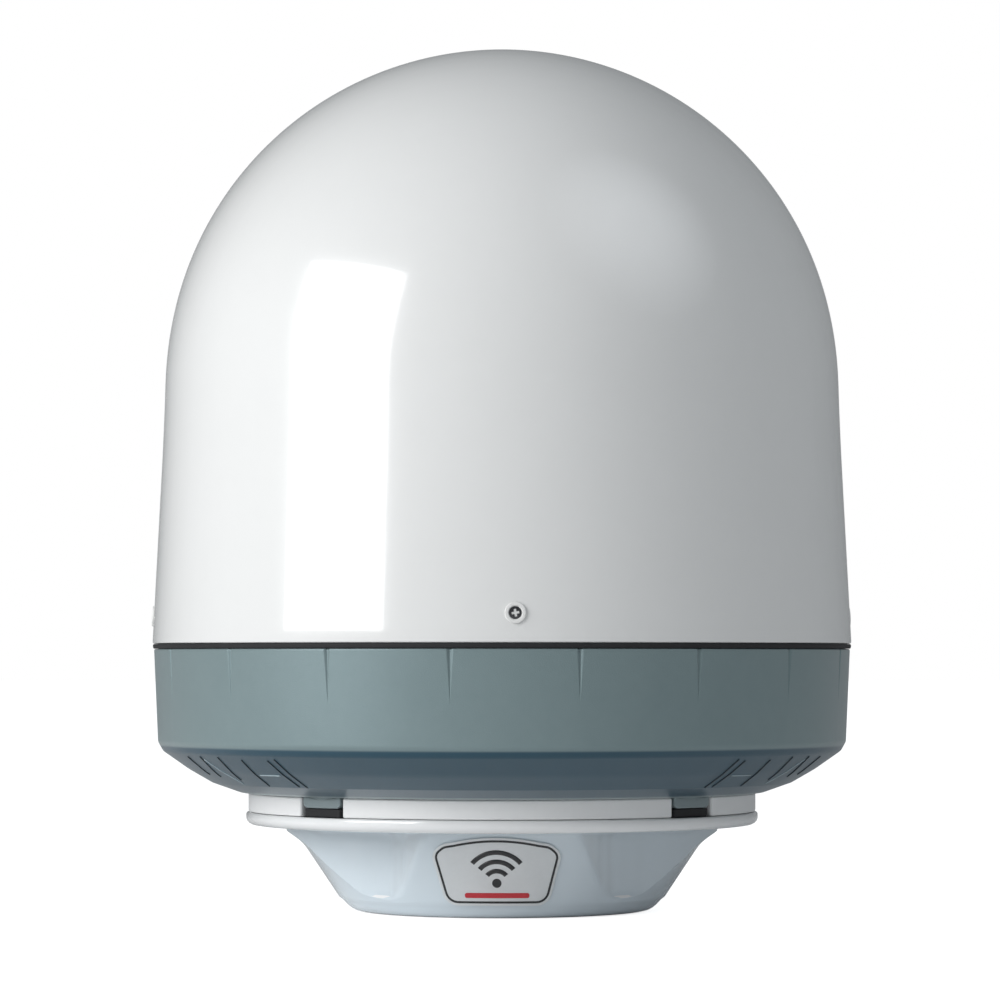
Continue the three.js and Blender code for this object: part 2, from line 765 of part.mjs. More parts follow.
// Receiver: a round neck in the cradle's hole, a finned body and two sockets at the back.
function receiver() {
  const neck = ring(0, 15.8, -52, -33);
  const drum = ring(0, 24, -90, -51, mediumFacets);
  const body = block([-22, -30, -86], [22, 30, -56]);
  const sockets = [-11, 11].map((x) => moved(ring(0, 4.5, -102, -85, 12), shift(x, -14, 0)));
  return joined([neck, drum, body, ...sockets]);
}

function skewGear() {
  return gear(skewTeeth, 0, -50, -45, 15.8 + gap);
}

function skewPinion() {
  const startAngle = 180 + 180 / smallPinionTeeth;
  const pinion = gear(smallPinionTeeth, startAngle, -50, -45).add(ring(0, 2, -46, -28, 12));
  return moved(pinion, shift(skewReach, 0, 0));
}

// A flat motor on the front of the cross plate, under the dish.
function skewMotor() {
  const body = ring(0, 14, plateFront + gap, -21).subtract(ring(0, 2.5, -40, -27, 12));
  return moved(body, shift(skewReach, 0, 0));
}

function rateSensor() {
  return block([-64, -13, -58], [-42, 13, plateBack - gap]);
}

function balanceWeight() {
  return block([-130, -24, -62], [-72, 24, plateBack - gap]);
}

add("elevation_cradle", elevationCradle(), aluminium, tilting);
add("reflector_dish", reflectorDish(), dishWhite, tilting);
add("dish_hub", dishHub(), aluminium, tilting);
add("feed_tube", feedTube(), aluminium, tilting);
add("feed_cone", feedCone(), gearNylon, tilting);
add("subreflector", subreflector(), aluminium, tilting);
add("elevation_sector_gear", elevationSectorGear(), gearNylon, tilting);
add("receiver", receiver(), castGrey, tilting);
add("skew_gear", skewGear(), gearNylon, tilting);
add("skew_motor", skewMotor(), blackPlastic, tilting);
add("skew_pinion", skewPinion(), steel, tilting);
add("rate_sensor", rateSensor(), blackPlastic, tilting);
add("balance_weight", balanceWeight(), steel, tilting);

export default antenna;
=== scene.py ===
import json
import math

import bmesh
import bpy
import numpy as np
from mathutils import Matrix, Vector


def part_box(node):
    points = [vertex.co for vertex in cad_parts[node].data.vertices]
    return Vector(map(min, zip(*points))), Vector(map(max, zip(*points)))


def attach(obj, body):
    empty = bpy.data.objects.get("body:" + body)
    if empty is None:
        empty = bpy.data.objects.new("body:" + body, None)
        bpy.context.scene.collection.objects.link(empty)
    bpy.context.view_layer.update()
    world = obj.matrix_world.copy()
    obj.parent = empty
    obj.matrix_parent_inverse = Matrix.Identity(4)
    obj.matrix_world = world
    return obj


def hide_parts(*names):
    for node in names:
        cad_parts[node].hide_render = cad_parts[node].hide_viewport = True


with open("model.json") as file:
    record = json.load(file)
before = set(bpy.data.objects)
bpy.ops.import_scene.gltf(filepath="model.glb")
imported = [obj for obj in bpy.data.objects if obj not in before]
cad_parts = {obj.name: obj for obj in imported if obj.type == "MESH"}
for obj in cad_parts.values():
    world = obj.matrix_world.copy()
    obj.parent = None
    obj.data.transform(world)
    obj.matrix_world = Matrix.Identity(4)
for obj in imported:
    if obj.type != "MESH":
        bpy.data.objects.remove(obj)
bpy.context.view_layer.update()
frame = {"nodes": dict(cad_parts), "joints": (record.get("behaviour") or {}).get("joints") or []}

scene = bpy.context.scene
joints = {j["name"]: j for j in frame["joints"]}


# a turn about the vertical, in degrees
def turnZ(angle):
    return Matrix.Rotation(math.radians(angle), 4, 'Z')


# a move in millimetres
def shift(x, y, z):
    return Matrix.Translation((x / 1000, y / 1000, z / 1000))


# carries (x, y, z) to (z, x, y), so what is drawn upwards lies along X
alongX = Matrix(((0, 0, 1, 0), (1, 0, 0, 0), (0, 1, 0, 0), (0, 0, 0, 1)))

tiltValues = dict(dishElevation=40)
tiltCentre = Vector(joints["elevation"]["pos_m"])
# the dish's own frame: its axis is local Z, leant back to the rest elevation about the trunnions
dishFrame = Matrix.Translation(tiltCentre) @ Matrix.Rotation(
    math.radians(90 - tiltValues["dishElevation"]), 4, 'X')


# points and quads of a grid given in millimetres, turned over if the volume they enclose comes out negative
def surface(points, closeRows=False, closeColumns=True, matrix=None):
    rows, columns = points.shape[:2]
    index = np.arange(rows * columns).reshape(rows, columns)
    if closeRows:
        index = np.vstack([index, index[:1]])
    if closeColumns:
        index = np.hstack([index, index[:, :1]])
    quads = np.stack([index[:-1, :-1], index[:-1, 1:], index[1:, 1:], index[1:, :-1]], -1).reshape(-1, 4)
    flat = points.reshape(-1, 3) / 1000
    if matrix is not None:
        flat = flat @ np.array(matrix.to_3x3()).T + np.array(matrix.translation)
    a, b, c, d = (flat[quads[:, k]] - flat.mean(0) for k in range(4))
    volume = np.sum(a * (np.cross(b, c) + np.cross(c, d)))
    return flat, quads if volume > 0 else quads[:, ::-1]


# one mesh out of several surfaces, doubled points merged at seams and poles
def makePiece(name, parts, body, slot, material, *nodes):
    parts = parts if isinstance(parts, list) else [parts]
    starts = np.cumsum([0] + [len(flat) for flat, quads in parts])
    points = np.vstack([flat for flat, quads in parts])
    quads = np.vstack([quads + start for (flat, quads), start in zip(parts, starts)])
    mesh = bpy.data.meshes.new(name)
    mesh.vertices.add(len(points))
    mesh.vertices.foreach_set("co", points.astype(np.float32).ravel())
    mesh.loops.add(quads.size)
    mesh.loops.foreach_set("vertex_index", quads.astype(np.int32).ravel())
    mesh.polygons.add(len(quads))
    mesh.polygons.foreach_set("loop_start", np.arange(0, quads.size, 4, dtype=np.int32))
    mesh.update(calc_edges=True)
    work = bmesh.new()
    work.from_mesh(mesh)
    bmesh.ops.remove_doubles(work, verts=work.verts, dist=3e-6)
    work.to_mesh(mesh)
    work.free()
    mesh.polygons.foreach_set("use_smooth", np.ones(len(mesh.polygons), bool))
    mesh.materials.append(material)
    piece = bpy.data.objects.new(name, mesh)
    scene.collection.objects.link(piece)
    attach(piece, body)
    if nodes:
        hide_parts(*nodes)
    return piece


# a polyline whose corners (x, y, radius) become arcs, with points close to both ends of each straight run
def roundedPath(corners, step=8.0, closed=False):
    corners = [np.array(c, float) for c in corners]
    count = len(corners)
    arcs = []
    for i, corner in enumerate(corners):
        radius = corner[2] if len(corner) > 2 else 0.0
        here = corner[:2]
        if radius <= 0 or (not closed and i in (0, count - 1)):
            arcs.append(here[None])
            continue
        before = corners[i - 1][:2] - here
        after = corners[(i + 1) % count][:2] - here
        before, after = before / np.linalg.norm(before), after / np.linalg.norm(after)
        half = math.acos(np.clip(before @ after, -1, 1)) / 2
        turn = math.pi - 2 * half
        reach = radius / math.tan(half)
        centre = here + (before + after) / np.linalg.norm(before + after) * radius / math.sin(half)
        a, b = here + before * reach - centre, here + after * reach - centre
        share = np.linspace(0, 1, max(3, math.ceil(math.degrees(turn) / 14)) + 1)[:, None]
        arcs.append(centre + (a * np.sin((1 - share) * turn) + b * np.sin(share * turn)) / math.sin(turn))
    line = []
    for i in range(count if closed else count - 1):
        a, b = arcs[i][-1], arcs[(i + 1) % count][0]
        length = np.linalg.norm(b - a)
        line.append(arcs[i])
        if length > 0.05:
            hug = min(0.3, length * 0.3)
            at = np.linspace(hug, length - hug, max(2, math.ceil(length / step) + 1))
            line.append(a + (b - a) * (at / length)[:, None])
    if not closed:
        line.append(arcs[-1])
    return np.vstack(line)


# a profile of (radius, height, corner radius) carried round the axis: x = r cos a, y = r sin a, z = height
def turned(corners, columns=96, closed=False, matrix=None, step=8.0):
    profile = roundedPath(corners, step, closed)
    angle = np.linspace(0, 2 * np.pi, columns, endpoint=False)
    radius, height = profile[:, :1], profile[:, 1:2]
    points = np.stack([radius * np.cos(angle), radius * np.sin(angle), height + 0 * angle], -1)
    return surface(points, closeRows=closed, matrix=matrix)


# the direction out of a closed outline at each point, square to the line between its neighbours
def outward(outline):
    along = np.roll(outline, -1, 0) - np.roll(outline, 1, 0)
    out = np.stack([along[:, 1], -along[:, 0]], -1)
    out /= np.maximum(np.linalg.norm(out, axis=1, keepdims=True), 1e-9)
    x, y = outline.T
    return out if np.sum(x * np.roll(y, -1) - y * np.roll(x, -1)) > 0 else -out


# a plate between two heights: the outline drawn in along its normals round each edge, its faces carried
# to the middle, or to an inner loop with as many points
def plateGrid(outline, low, high, edge=0.6, inner=None, rings=2):
    out = outward(outline)
    hug = min(0.25, (high - low - 2 * edge) * 0.25)
    arc = np.linspace(0, math.pi / 2, 4)
    inset = outline - out * (edge + hug)
    core = np.repeat(outline.mean(0)[None], len(outline), 0) if inner is None else inner
    face = [core + (inset - core) * share for share in np.linspace(0, 1, rings + 2)]
    bottom = [(loop, low) for loop in face]
    bottom += [(outline - out * edge * (1 - math.sin(a)), low + edge * (1 - math.cos(a))) for a in arc]
    top = [(loop, high) for loop in face]
    top += [(outline - out * edge * (1 - math.sin(a)), high - edge * (1 - math.cos(a))) for a in arc]
    rows = bottom + [(outline, low + edge + hug), (outline, high - edge - hug)] + top[::-1]
    return np.stack([np.column_stack([loop, np.full(len(loop), z)]) for loop, z in rows])


# that plate as a surface
def plate(outline, low, high, edge=0.6, inner=None, matrix=None, rings=2):
    return surface(plateGrid(outline, low, high, edge, inner, rings), closeRows=inner is not None,
                   matrix=matrix)


# a circle of points, anticlockwise
def circle(radius, count=32, centre=(0, 0), start=0.0):
    angle = math.radians(start) + np.linspace(0, 2 * np.pi, count, endpoint=False)
    return np.column_stack([centre[0] + radius * np.cos(angle), centre[1] + radius * np.sin(angle)])


# a rectangle with round corners, anticlockwise
def roundBox(width, depth, corner, centre=(0, 0), step=6.0):
    x, y = width / 2, depth / 2
    corners = [(x, y, corner), (-x, y, corner), (-x, -y, corner), (x, -y, corner)]
    return roundedPath(corners, step, closed=True) + np.array(centre)


# a six-sided outline with its corners eased
def hexagon(radius, centre=(0, 0), corner=0.5, start=0.0):
    angle = math.radians(start) + np.arange(6) * math.pi / 3
    corners = [(radius * math.cos(a), radius * math.sin(a), corner) for a in angle]
    return roundedPath(corners, 5.0, closed=True) + np.array(centre)


# a circle carried along a path of points, square to it everywhere, its ends drawn to a point when open
def rod(path, radius, sides=10, closed=False, matrix=None):
    along = np.roll(path, -1, 0) - np.roll(path, 1, 0) if closed else np.gradient(path, axis=0)
    along /= np.linalg.norm(along, axis=1, keepdims=True)
    side = np.cross(along, np.tile([0.13, 0.21, 0.97], (len(path), 1)))
    side /= np.linalg.norm(side, axis=1, keepdims=True)
    top = np.cross(side, along)
    angle = np.linspace(0, 2 * np.pi, sides, endpoint=False)[None, :, None]
    loop = path[:, None] + radius * (np.cos(angle) * side[:, None] + np.sin(angle) * top[:, None])
    if not closed:
        loop = np.concatenate([np.repeat(path[:1, None], sides, 1), loop,
                               np.repeat(path[-1:, None], sides, 1)])
    return surface(loop, closeRows=closed, matrix=matrix)


# the usual easing curve from 0 at low to 1 at high
def ease(low, high, value):
    share = np.clip((value - low) / (high - low), 0, 1)
    return share * share * (3 - 2 * share)


# a node with its fixed values set
def addNode(tree, kind, **values):
    node = tree.nodes.new(kind)
    for key, value in values.items():
        if key in node.inputs:
            node.inputs[key].default_value = value
        else:
            setattr(node, key, value)
    return node


# one Math node, fed by sockets or numbers
def calc(tree, operation, *values):
    node = addNode(tree, 'ShaderNodeMath', operation=operation)
    for index, value in enumerate(values):
        if isinstance(value, (int, float)):
            node.inputs[index].default_value = value
        else:
            tree.links.new(value, node.inputs[index])
    return node.outputs[0]


# a shader group with float inputs and one float output
def newGroup(name, inputs, output):
    group = bpy.data.node_groups.new(name, 'ShaderNodeTree')
    for title, value in inputs.items():
        socket = group.interface.new_socket(name=title, in_out='INPUT', socket_type='NodeSocketFloat')
        socket.default_value = value
    group.interface.new_socket(name=output, in_out='OUTPUT', socket_type='NodeSocketFloat')
    return group, group.nodes.new('NodeGroupInput'), group.nodes.new('NodeGroupOutput')


# two sizes of noise, spread round their middle: a soft cloudy value about one half
def makeMottle():
    group, start, end = newGroup("cloudyMottle", dict(Scale=10.0, Contrast=1.0), "Value")
    where = addNode(group, 'ShaderNodeTexCoord')
    large = addNode(group, 'ShaderNodeTexNoise', Detail=4.0, Roughness=0.55)
    small = addNode(group, 'ShaderNodeTexNoise', Detail=3.0, Roughness=0.6)
    for texture in (large, small):
        group.links.new(where.outputs['Object'], texture.inputs['Vector'])
    group.links.new(start.outputs['Scale'], large.inputs['Scale'])
    group.links.new(calc(group, 'MULTIPLY', start.outputs['Scale'], 7.3), small.inputs['Scale'])
    broad = calc(group, 'MULTIPLY', large.outputs[0], 0.65)
    both = calc(group, 'MULTIPLY_ADD', small.outputs[0], 0.35, broad)
    spread = calc(group, 'MULTIPLY', calc(group, 'SUBTRACT', both, 0.5), start.outputs['Contrast'])
    group.links.new(calc(group, 'ADD', spread, 0.5), end.inputs['Value'])
    return group


# fine noise plus soft cells as a height: the orange peel or spark texture of a moulded skin
def makeGrain():
    group, start, end = newGroup("skinGrain", dict(Scale=900.0, Cells=0.4), "Height")
    where = addNode(group, 'ShaderNodeTexCoord')
    noise = addNode(group, 'ShaderNodeTexNoise', Detail=2.0, Roughness=0.5)
    cells = addNode(group, 'ShaderNodeTexVoronoi', feature='SMOOTH_F1', Smoothness=0.4)
    for texture in (noise, cells):
        group.links.new(where.outputs['Object'], texture.inputs['Vector'])
        group.links.new(start.outputs['Scale'], texture.inputs['Scale'])
    height = calc(group, 'MULTIPLY_ADD', cells.outputs['Distance'], start.outputs['Cells'], noise.outputs[0])
    group.links.new(height, end.inputs['Height'])
    return group


# faces that look up gather dust in patches: the normal's height times noise
def makeDust():
    group, start, end = newGroup("settledDust", dict(Amount=0.1, Scale=30.0), "Mask")
    geometry = addNode(group, 'ShaderNodeNewGeometry')
    parts = addNode(group, 'ShaderNodeSeparateXYZ')
    where = addNode(group, 'ShaderNodeTexCoord')
    noise = addNode(group, 'ShaderNodeTexNoise', Detail=6.0, Roughness=0.65)
    group.links.new(where.outputs['Object'], noise.inputs['Vector'])
    group.links.new(start.outputs['Scale'], noise.inputs['Scale'])
    group.links.new(geometry.outputs['Normal'], parts.inputs['Vector'])
    up = calc(group, 'MAXIMUM', parts.outputs['Z'], 0.0)
    patches = addNode(group, 'ShaderNodeMapRange')
    patches.inputs['From Min'].default_value = 0.42
    patches.inputs['From Max'].default_value = 0.68
    group.links.new(noise.outputs[0], patches.inputs['Value'])
    mask = calc(group, 'MULTIPLY', up, patches.outputs[0])
    group.links.new(calc(group, 'MULTIPLY', mask, start.outputs['Amount']), end.inputs['Mask'])
    return group


# noise drawn out along one direction as a height: the lines of brushed or machined metal
def makeMachining():
    group, start, end = newGroup("machiningLines", dict(Across=900.0, Along=12.0), "Height")
    where = addNode(group, 'ShaderNodeTexCoord')
    parts = addNode(group, 'ShaderNodeSeparateXYZ')
    joined = addNode(group, 'ShaderNodeCombineXYZ')
    noise = addNode(group, 'ShaderNodeTexNoise', Scale=1.0, Detail=3.0)
    group.links.new(where.outputs['Object'], parts.inputs['Vector'])
    for axis, spacing in (('X', 'Along'), ('Y', 'Across'), ('Z', 'Across')):
        group.links.new(calc(group, 'MULTIPLY', parts.outputs[axis], start.outputs[spacing]),
                        joined.inputs[axis])
    group.links.new(joined.outputs['Vector'], noise.inputs['Vector'])
    group.links.new(noise.outputs[0], end.inputs['Height'])
    return group


shaderGroups = dict(mottle=makeMottle(), grain=makeGrain(), dust=makeDust(), machining=makeMachining())


# a shader group placed in a material with its own values
def useGroup(tree, name, **values):
    node = addNode(tree, 'ShaderNodeGroup', node_tree=shaderGroups[name])
    for key, value in values.items():
        node.inputs[key].default_value = value
    return node.outputs[0]


# two colours, each a socket or three numbers, mixed by a factor
def mixColour(tree, factor, first, second):
    node = addNode(tree, 'ShaderNodeMix', data_type='RGBA')
    tree.links.new(factor, node.inputs[0])
    for index, value in ((6, first), (7, second)):
        if isinstance(value, tuple):
            node.inputs[index].default_value = (*value, 1)
        else:
            tree.links.new(value, node.inputs[index])
    return node.outputs[2]


# colour and roughness run with the mottle and then the dust; the bump is the grain or the machining lines
def makeFinish(name, light, dark, rough, spread=0.06, mottle=18.0, contrast=1.4, grain=900.0, depth=0.1,
               cells=0.4, dust=0.0, metallic=0.0, coat=0.0, coatRough=0.05, specular=0.5, machined=False):
    material = bpy.data.materials.new(name)
    material.use_nodes = True
    tree = material.node_tree
    shader = tree.nodes['Principled BSDF']
    cloud = useGroup(tree, "mottle", Scale=mottle, Contrast=contrast)
    colour = mixColour(tree, cloud, dark, light)
    roughness = calc(tree, 'MULTIPLY_ADD', cloud, spread, rough - spread / 2)
    if dust:
        film = useGroup(tree, "dust", Amount=dust, Scale=26.0)
        colour = mixColour(tree, film, colour, (0.5, 0.47, 0.42))
        roughness = calc(tree, 'MULTIPLY_ADD', film, 0.4, roughness)
    height = useGroup(tree, "machining") if machined else useGroup(tree, "grain", Scale=grain, Cells=cells)
    bump = addNode(tree, 'ShaderNodeBump', Strength=depth, Distance=0.0003)
    tree.links.new(height, bump.inputs['Height'])
    tree.links.new(bump.outputs['Normal'], shader.inputs['Normal'])
    tree.links.new(colour, shader.inputs['Base Color'])
    tree.links.new(roughness, shader.inputs['Roughness'])
    shader.inputs['Metallic'].default_value = metallic
    shader.inputs['Coat Weight'].default_value = coat
    shader.inputs['Coat Roughness'].default_value = coatRough
    shader.inputs['Specular IOR Level'].default_value = specular
    return material


print("helpers and shader groups ready")

radomeFinish = dict(light=(0.80, 0.805, 0.80), dark=(0.77, 0.775, 0.77), rough=0.17, spread=0.05, mottle=9.0,
                    contrast=1.2, grain=420.0, depth=0.04, cells=0.1, coat=0.6, coatRough=0.05)
radomeWhite = makeFinish("radomeGelcoat", **radomeFinish)

radome = dict(crownRadius=238.5, crownCentre=372.6, footRadius=247.8, foot=188.6, wall=3.5, lip=1.4,
              columns=256)


# radius of the dome's drum at a height: a straight draft from the foot to the crown's equator
def drumRadius(height):
    share = (height - radome["foot"]) / (radome["crownCentre"] - radome["foot"])
    return radome["footRadius"] + (radome["crownRadius"] - radome["footRadius"]) * share


# the dome: a half circle of the crown radius over the drafted drum, outside and inside, round its lower lip;
# the crown's join to the drum is softened by blending the drum's slope into the circle
def radomeSurface():
    arc = np.radians(np.concatenate([np.linspace(90, 6, 57), np.linspace(4, 0, 3)]))
    rows = []
    for inset in (0.0, radome["wall"]):
        radius = radome["crownRadius"] - inset
        crown = np.column_stack([radius * np.cos(arc), radome["crownCentre"] + radius * np.sin(arc)])
        crown[0, 0] = 0
        height = np.linspace(radome["crownCentre"] - 4, radome["foot"] + radome["lip"], 20)
        drum = np.column_stack([drumRadius(height) - inset, height])
        line = np.vstack([crown, drum])
        away = line[:, 1] - radome["crownCentre"]
        line[:, 0] += np.where(np.abs(away) < 60, (1 - np.abs(away) / 60) ** 2 * 0.75, 0)
        rows.append(line)
    outer, inner = rows
    a = np.linspace(0, math.pi / 2, 5)[1:]
    lip = radome["lip"]
    foot = drumRadius(radome["foot"])
    outerTurn = np.column_stack([foot - lip + lip * np.cos(a), radome["foot"] + lip - lip * np.sin(a)])
    innerTurn = np.column_stack([foot - radome["wall"] + lip - lip * np.cos(a[::-1]),
                                 radome["foot"] + lip - lip * np.sin(a[::-1])])
    profile = np.vstack([outer, outerTurn, innerTurn, inner[::-1]])
    angle = np.linspace(0, 2 * np.pi, radome["columns"], endpoint=False)
    points = np.stack([profile[:, :1] * np.cos(angle), profile[:, :1] * np.sin(angle),
                       profile[:, 1:] + 0 * angle], -1)
    return surface(points)


makePiece("radomeShell", radomeSurface(), "radome", "radome_white", radomeWhite, "radome_shell")
print("radome made")

cupFinish = dict(light=(0.82, 0.82, 0.81), dark=(0.77, 0.77, 0.76), rough=0.3, mottle=60.0, grain=1500.0,
                 depth=0.05)
cupWhite = makeFinish("screwCupNylon", **cupFinish)
rubberFinish = dict(light=(0.024, 0.025, 0.027), dark=(0.013, 0.013, 0.015), rough=0.6, spread=0.2,
                    mottle=60.0,
                    contrast=2.0, grain=1200.0, depth=0.3, cells=0.9, specular=0.35)
rubberBlack = makeFinish("padRubber", **rubberFinish)
# painted shade: the radome screws' steel is kept nearly black, for the deep recess the head sits in
shadedScrewFinish = dict(light=(0.16, 0.16, 0.17), dark=(0.06, 0.06, 0.065), rough=0.3, spread=0.14, mottle=300.0,
                   metallic=1.0, depth=0.1, machined=True)
shadedScrewSteel = makeFinish("shadedScrewSteel", **shadedScrewFinish)

screws = dict(height=208, turn=2, names=("right", "rear", "left", "front"), headRadius=4.2,
              slotWidth=0.62, slotReach=2.7, slotDepth=1.5)


# a place on the drum with local Z square out of its wall
def onDrum(angle):
    draft = math.atan2(radome["footRadius"] - radome["crownRadius"], radome["crownCentre"] - radome["foot"])
    lean = Matrix.Rotation(math.pi / 2 - draft, 4, 'Y')
    return turnZ(angle) @ shift(drumRadius(screws["height"]), 0, screws["height"]) @ lean


# a low domed head with a cross cut in it: height = crown - rim fall - depth where either arm of the cross
# is near
def screwHead(matrix, spin):
    ring = np.linspace(0, 1, 30)[:, None] * screws["headRadius"]
    angle = np.linspace(0, 2 * np.pi, 72, endpoint=False)[None]
    x, y = ring * np.cos(angle), ring * np.sin(angle)
    u = x * math.cos(spin) + y * math.sin(spin)
    v = -x * math.sin(spin) + y * math.cos(spin)
    arm = 1 - ease(screws["slotWidth"], screws["slotWidth"] + 0.28, np.minimum(np.abs(u), np.abs(v)))
    reach = 1 - ease(screws["slotReach"] - 0.4, screws["slotReach"], ring + 0 * angle)
    crown = 0.55 - 0.5 * (ring / screws["headRadius"]) ** 2 + 0 * angle
    top = np.stack([x, y, crown - screws["slotDepth"] * arm * reach], -1)
    low = np.stack([x[-1:], y[-1:], np.full_like(x[-1:], -1.05)], -1)
    return surface(np.concatenate([top, low, low * [0, 0, 1]]), matrix=matrix)


for index, screwName in enumerate(screws["names"]):
    spot = onDrum(90 * index + screws["turn"])
    cup = turned([(2.4, -3.4), (5.4, -3.4), (5.4, 0.1), (7.15, 0.1, 0.05), (7.15, 1.5, 0.75), (4.6, 1.5, 0.5),
                  (4.6, -1.4, 0.2), (2.4, -1.4)], 64, True, spot)
    makePiece("screwCup_" + screwName, cup, "radome", "radome_white", cupWhite, "screw_cup_" + screwName)
    # painted shade: a black washer on the cup's shallow floor stands in for the dark deep recess round the
    # screw
    shadeWasher = turned([(2.2, -1.45), (4.55, -1.45), (4.55, -0.9, 0.2), (2.2, -0.9)], 40, True, spot)
    makePiece("screwShadeWasher_" + screwName, shadeWasher, "radome", "pad_rubber", rubberBlack)
    shank = turned([(0, -14), (1.6, -14), (2, -13.4), (2, -1), (0, -1)], 20, False, spot)
    makePiece("radomeScrew_" + screwName, [screwHead(spot, 0.3 + index), shank], "radome", "bolt_steel",
              shadedScrewSteel, "radome_screw_" + screwName)
print("radome screws made")

gasketBlack = makeFinish("gasketFoam", **{**rubberFinish, "mottle": 90.0, "rough": 0.7})
gasket = turned([(243.9, 185.1, 0.3), (247.2, 185.1, 0.6), (247.6, 187.2, 0.6), (247.1, 188.3, 0.3),
                 (243.9, 188.3, 0.3)],
                220, True)
makePiece("radomeGasket", gasket, "base", "gasket_rubber", gasketBlack, "radome_gasket")

panFinish = dict(light=(0.198, 0.258, 0.266), dark=(0.162, 0.217, 0.225), rough=0.36, spread=0.10,
                 mottle=14.0,
                 contrast=1.2, grain=1500.0, depth=0.22, cells=0.8, coat=0.75, coatRough=0.34)
panGrey = makeFinish("panGreyMoulding", **panFinish)
panGrey.node_tree.nodes['Principled BSDF'].inputs['Specular Tint'].default_value = (0.55, 0.88, 1.0, 1)
bevelValues = dict(paintedShadeColour=(0.007, 0.045, 0.076), top=117.2, softness=1.0, footColour=(0.23, 0.275, 0.285),
                   foot=85.1,
                   footSoftness=0.4, radius=(205.6, 222, 240.2), height=(90.9, 100.4, 113.2))


# below a height the outside takes a second tone: factor = smooth step of object height, in metres, where the
# object normal doesn't look up; this paints shade on the pan's bevel and the pod's cone, and gives the feet a
# paler grey
def addLowerShadeAndTone(material, colour, height, softness, strength=1.0):
    tree = material.node_tree
    shader = tree.nodes['Principled BSDF']
    before = shader.inputs['Base Color'].links[0].from_socket
    where = addNode(tree, 'ShaderNodeTexCoord')
    parts = addNode(tree, 'ShaderNodeSeparateXYZ')
    step = addNode(tree, 'ShaderNodeMapRange', interpolation_type='SMOOTHSTEP')
    tree.links.new(where.outputs['Object'], parts.inputs['Vector'])
    tree.links.new(parts.outputs['Z'], step.inputs['Value'])
    step.inputs['From Min'].default_value = (height - softness) / 1000
    step.inputs['From Max'].default_value = (height + softness) / 1000
    step.inputs['To Min'].default_value = strength
    step.inputs['To Max'].default_value = 0
    facing = addNode(tree, 'ShaderNodeSeparateXYZ')
    tree.links.new(where.outputs['Normal'], facing.inputs['Vector'])
    outside = calc(tree, 'MULTIPLY', step.outputs[0], calc(tree, 'LESS_THAN', facing.outputs['Z'], 0.3))
    tree.links.new(mixColour(tree, outside, before, colour), shader.inputs['Base Color'])


# painted shade: below 117.2 mm the pan's faces that don't look up, its bevel, take an almost black-blue
# colour
addLowerShadeAndTone(panGrey, bevelValues["paintedShadeColour"], bevelValues["top"], bevelValues["softness"])
addLowerShadeAndTone(panGrey, bevelValues["footColour"], bevelValues["foot"], bevelValues["footSoftness"])

pan = dict(fluteCount=18, firstFlute=-98, fluteLength=37, fluteHalfWidth=2.15, fluteDepth=1.5, bandTop=184.8,
           betweenFlutes=8)


# the pan: its profile carried round, the columns near each flute drawn together towards the flute's point and
# sunk by the flute's depth, which falls to nothing at the point
def panSurface():
    rim = drumRadius(222) - 4.4
    profile = roundedPath([
        (0, 84), (186.2, 84, 2.5), (205.6, 90.9, 1.2), (222, 100.4, 70), (240.2, 113.2, 6), (243.7, 119.5, 6),
        (246.7, 184.8, 1.1), (drumRadius(184.8) - 4.4, 184.8, 0.2), (rim, 222, 0.8), (rim - 3.5, 222, 0.8),
        (drumRadius(184.8) - 8.9, 181.8, 3), (237.5, 118.5, 6), (185.5, 89.3, 4), (0, 89.3)], 3.8)
    radius, height = profile[:, :1], profile[:, 1:2]
    along = np.clip((pan["bandTop"] - height) / pan["fluteLength"], 0, 1)
    onBand = (radius > 243.7) & (height > 120)
    width = np.where(onBand, np.maximum(pan["fluteHalfWidth"] * (1 - along), 0.12), 0.12 + 0 * along)
    depth = np.where(onBand, pan["fluteDepth"] * (1 - along) ** 0.85, 0)
    across = np.array([-1.3, -1.0, -0.66, -0.33, 0, 0.33, 0.66, 1.0, 1.3])
    sunk = np.maximum(0, 1 - np.abs(across))
    pitch = 2 * math.pi / pan["fluteCount"]
    spare = np.linspace(0, pitch, pan["betweenFlutes"] + 2)[1:-1]
    oneFlute = across * width / 245
    others = np.repeat(spare[None], len(radius), 0)
    angle = np.hstack([np.hstack([oneFlute, others]) + pitch * i for i in range(pan["fluteCount"])])
    angle += math.radians(pan["firstFlute"])
    drop = np.tile(np.hstack([depth * sunk, 0 * others]), pan["fluteCount"])
    points = np.stack([(radius - drop) * np.cos(angle), (radius - drop) * np.sin(angle), height + 0 * angle],
                      -1)
    points[[0, -1], :, :2] = 0
    return surface(points)


# points on the bevel: bearings from the front, share 0 at its foot to 1 at its upper edge along its
# three points
def onBevel(bearing, share, proud):
    angle = np.radians(bearing - 90)
    at = np.array([0, 0.47, 1])
    radius = np.interp(share, at, bevelValues["radius"]) + 0.55 * proud
    height = np.interp(share, at, bevelValues["height"]) - 0.84 * proud
    return np.column_stack([radius * np.cos(angle), radius * np.sin(angle), height])


# a leaning rib on the bevel from its foot to near its upper edge
def slantRib(foot, head, low, high, radius, proud=0.1):
    share = np.linspace(0, 1, 14)
    return rod(onBevel(foot + (head - foot) * share, low + (high - low) * share, proud), radius, 8)


stations = (-133.5, -43.5, 46.5, 136.5)


# a foot under the pan: its outline across, round at the lower corners, carried along the radius
def footSurface(angle):
    outline = roundedPath([(18, 76.3, 4), (18, 85, 0.3), (-18, 85, 0.3), (-18, 76.3, 4)], 4.0, closed=True)
    return plate(outline, 141, 178.5, 0.9, matrix=turnZ(angle) @ alongX)


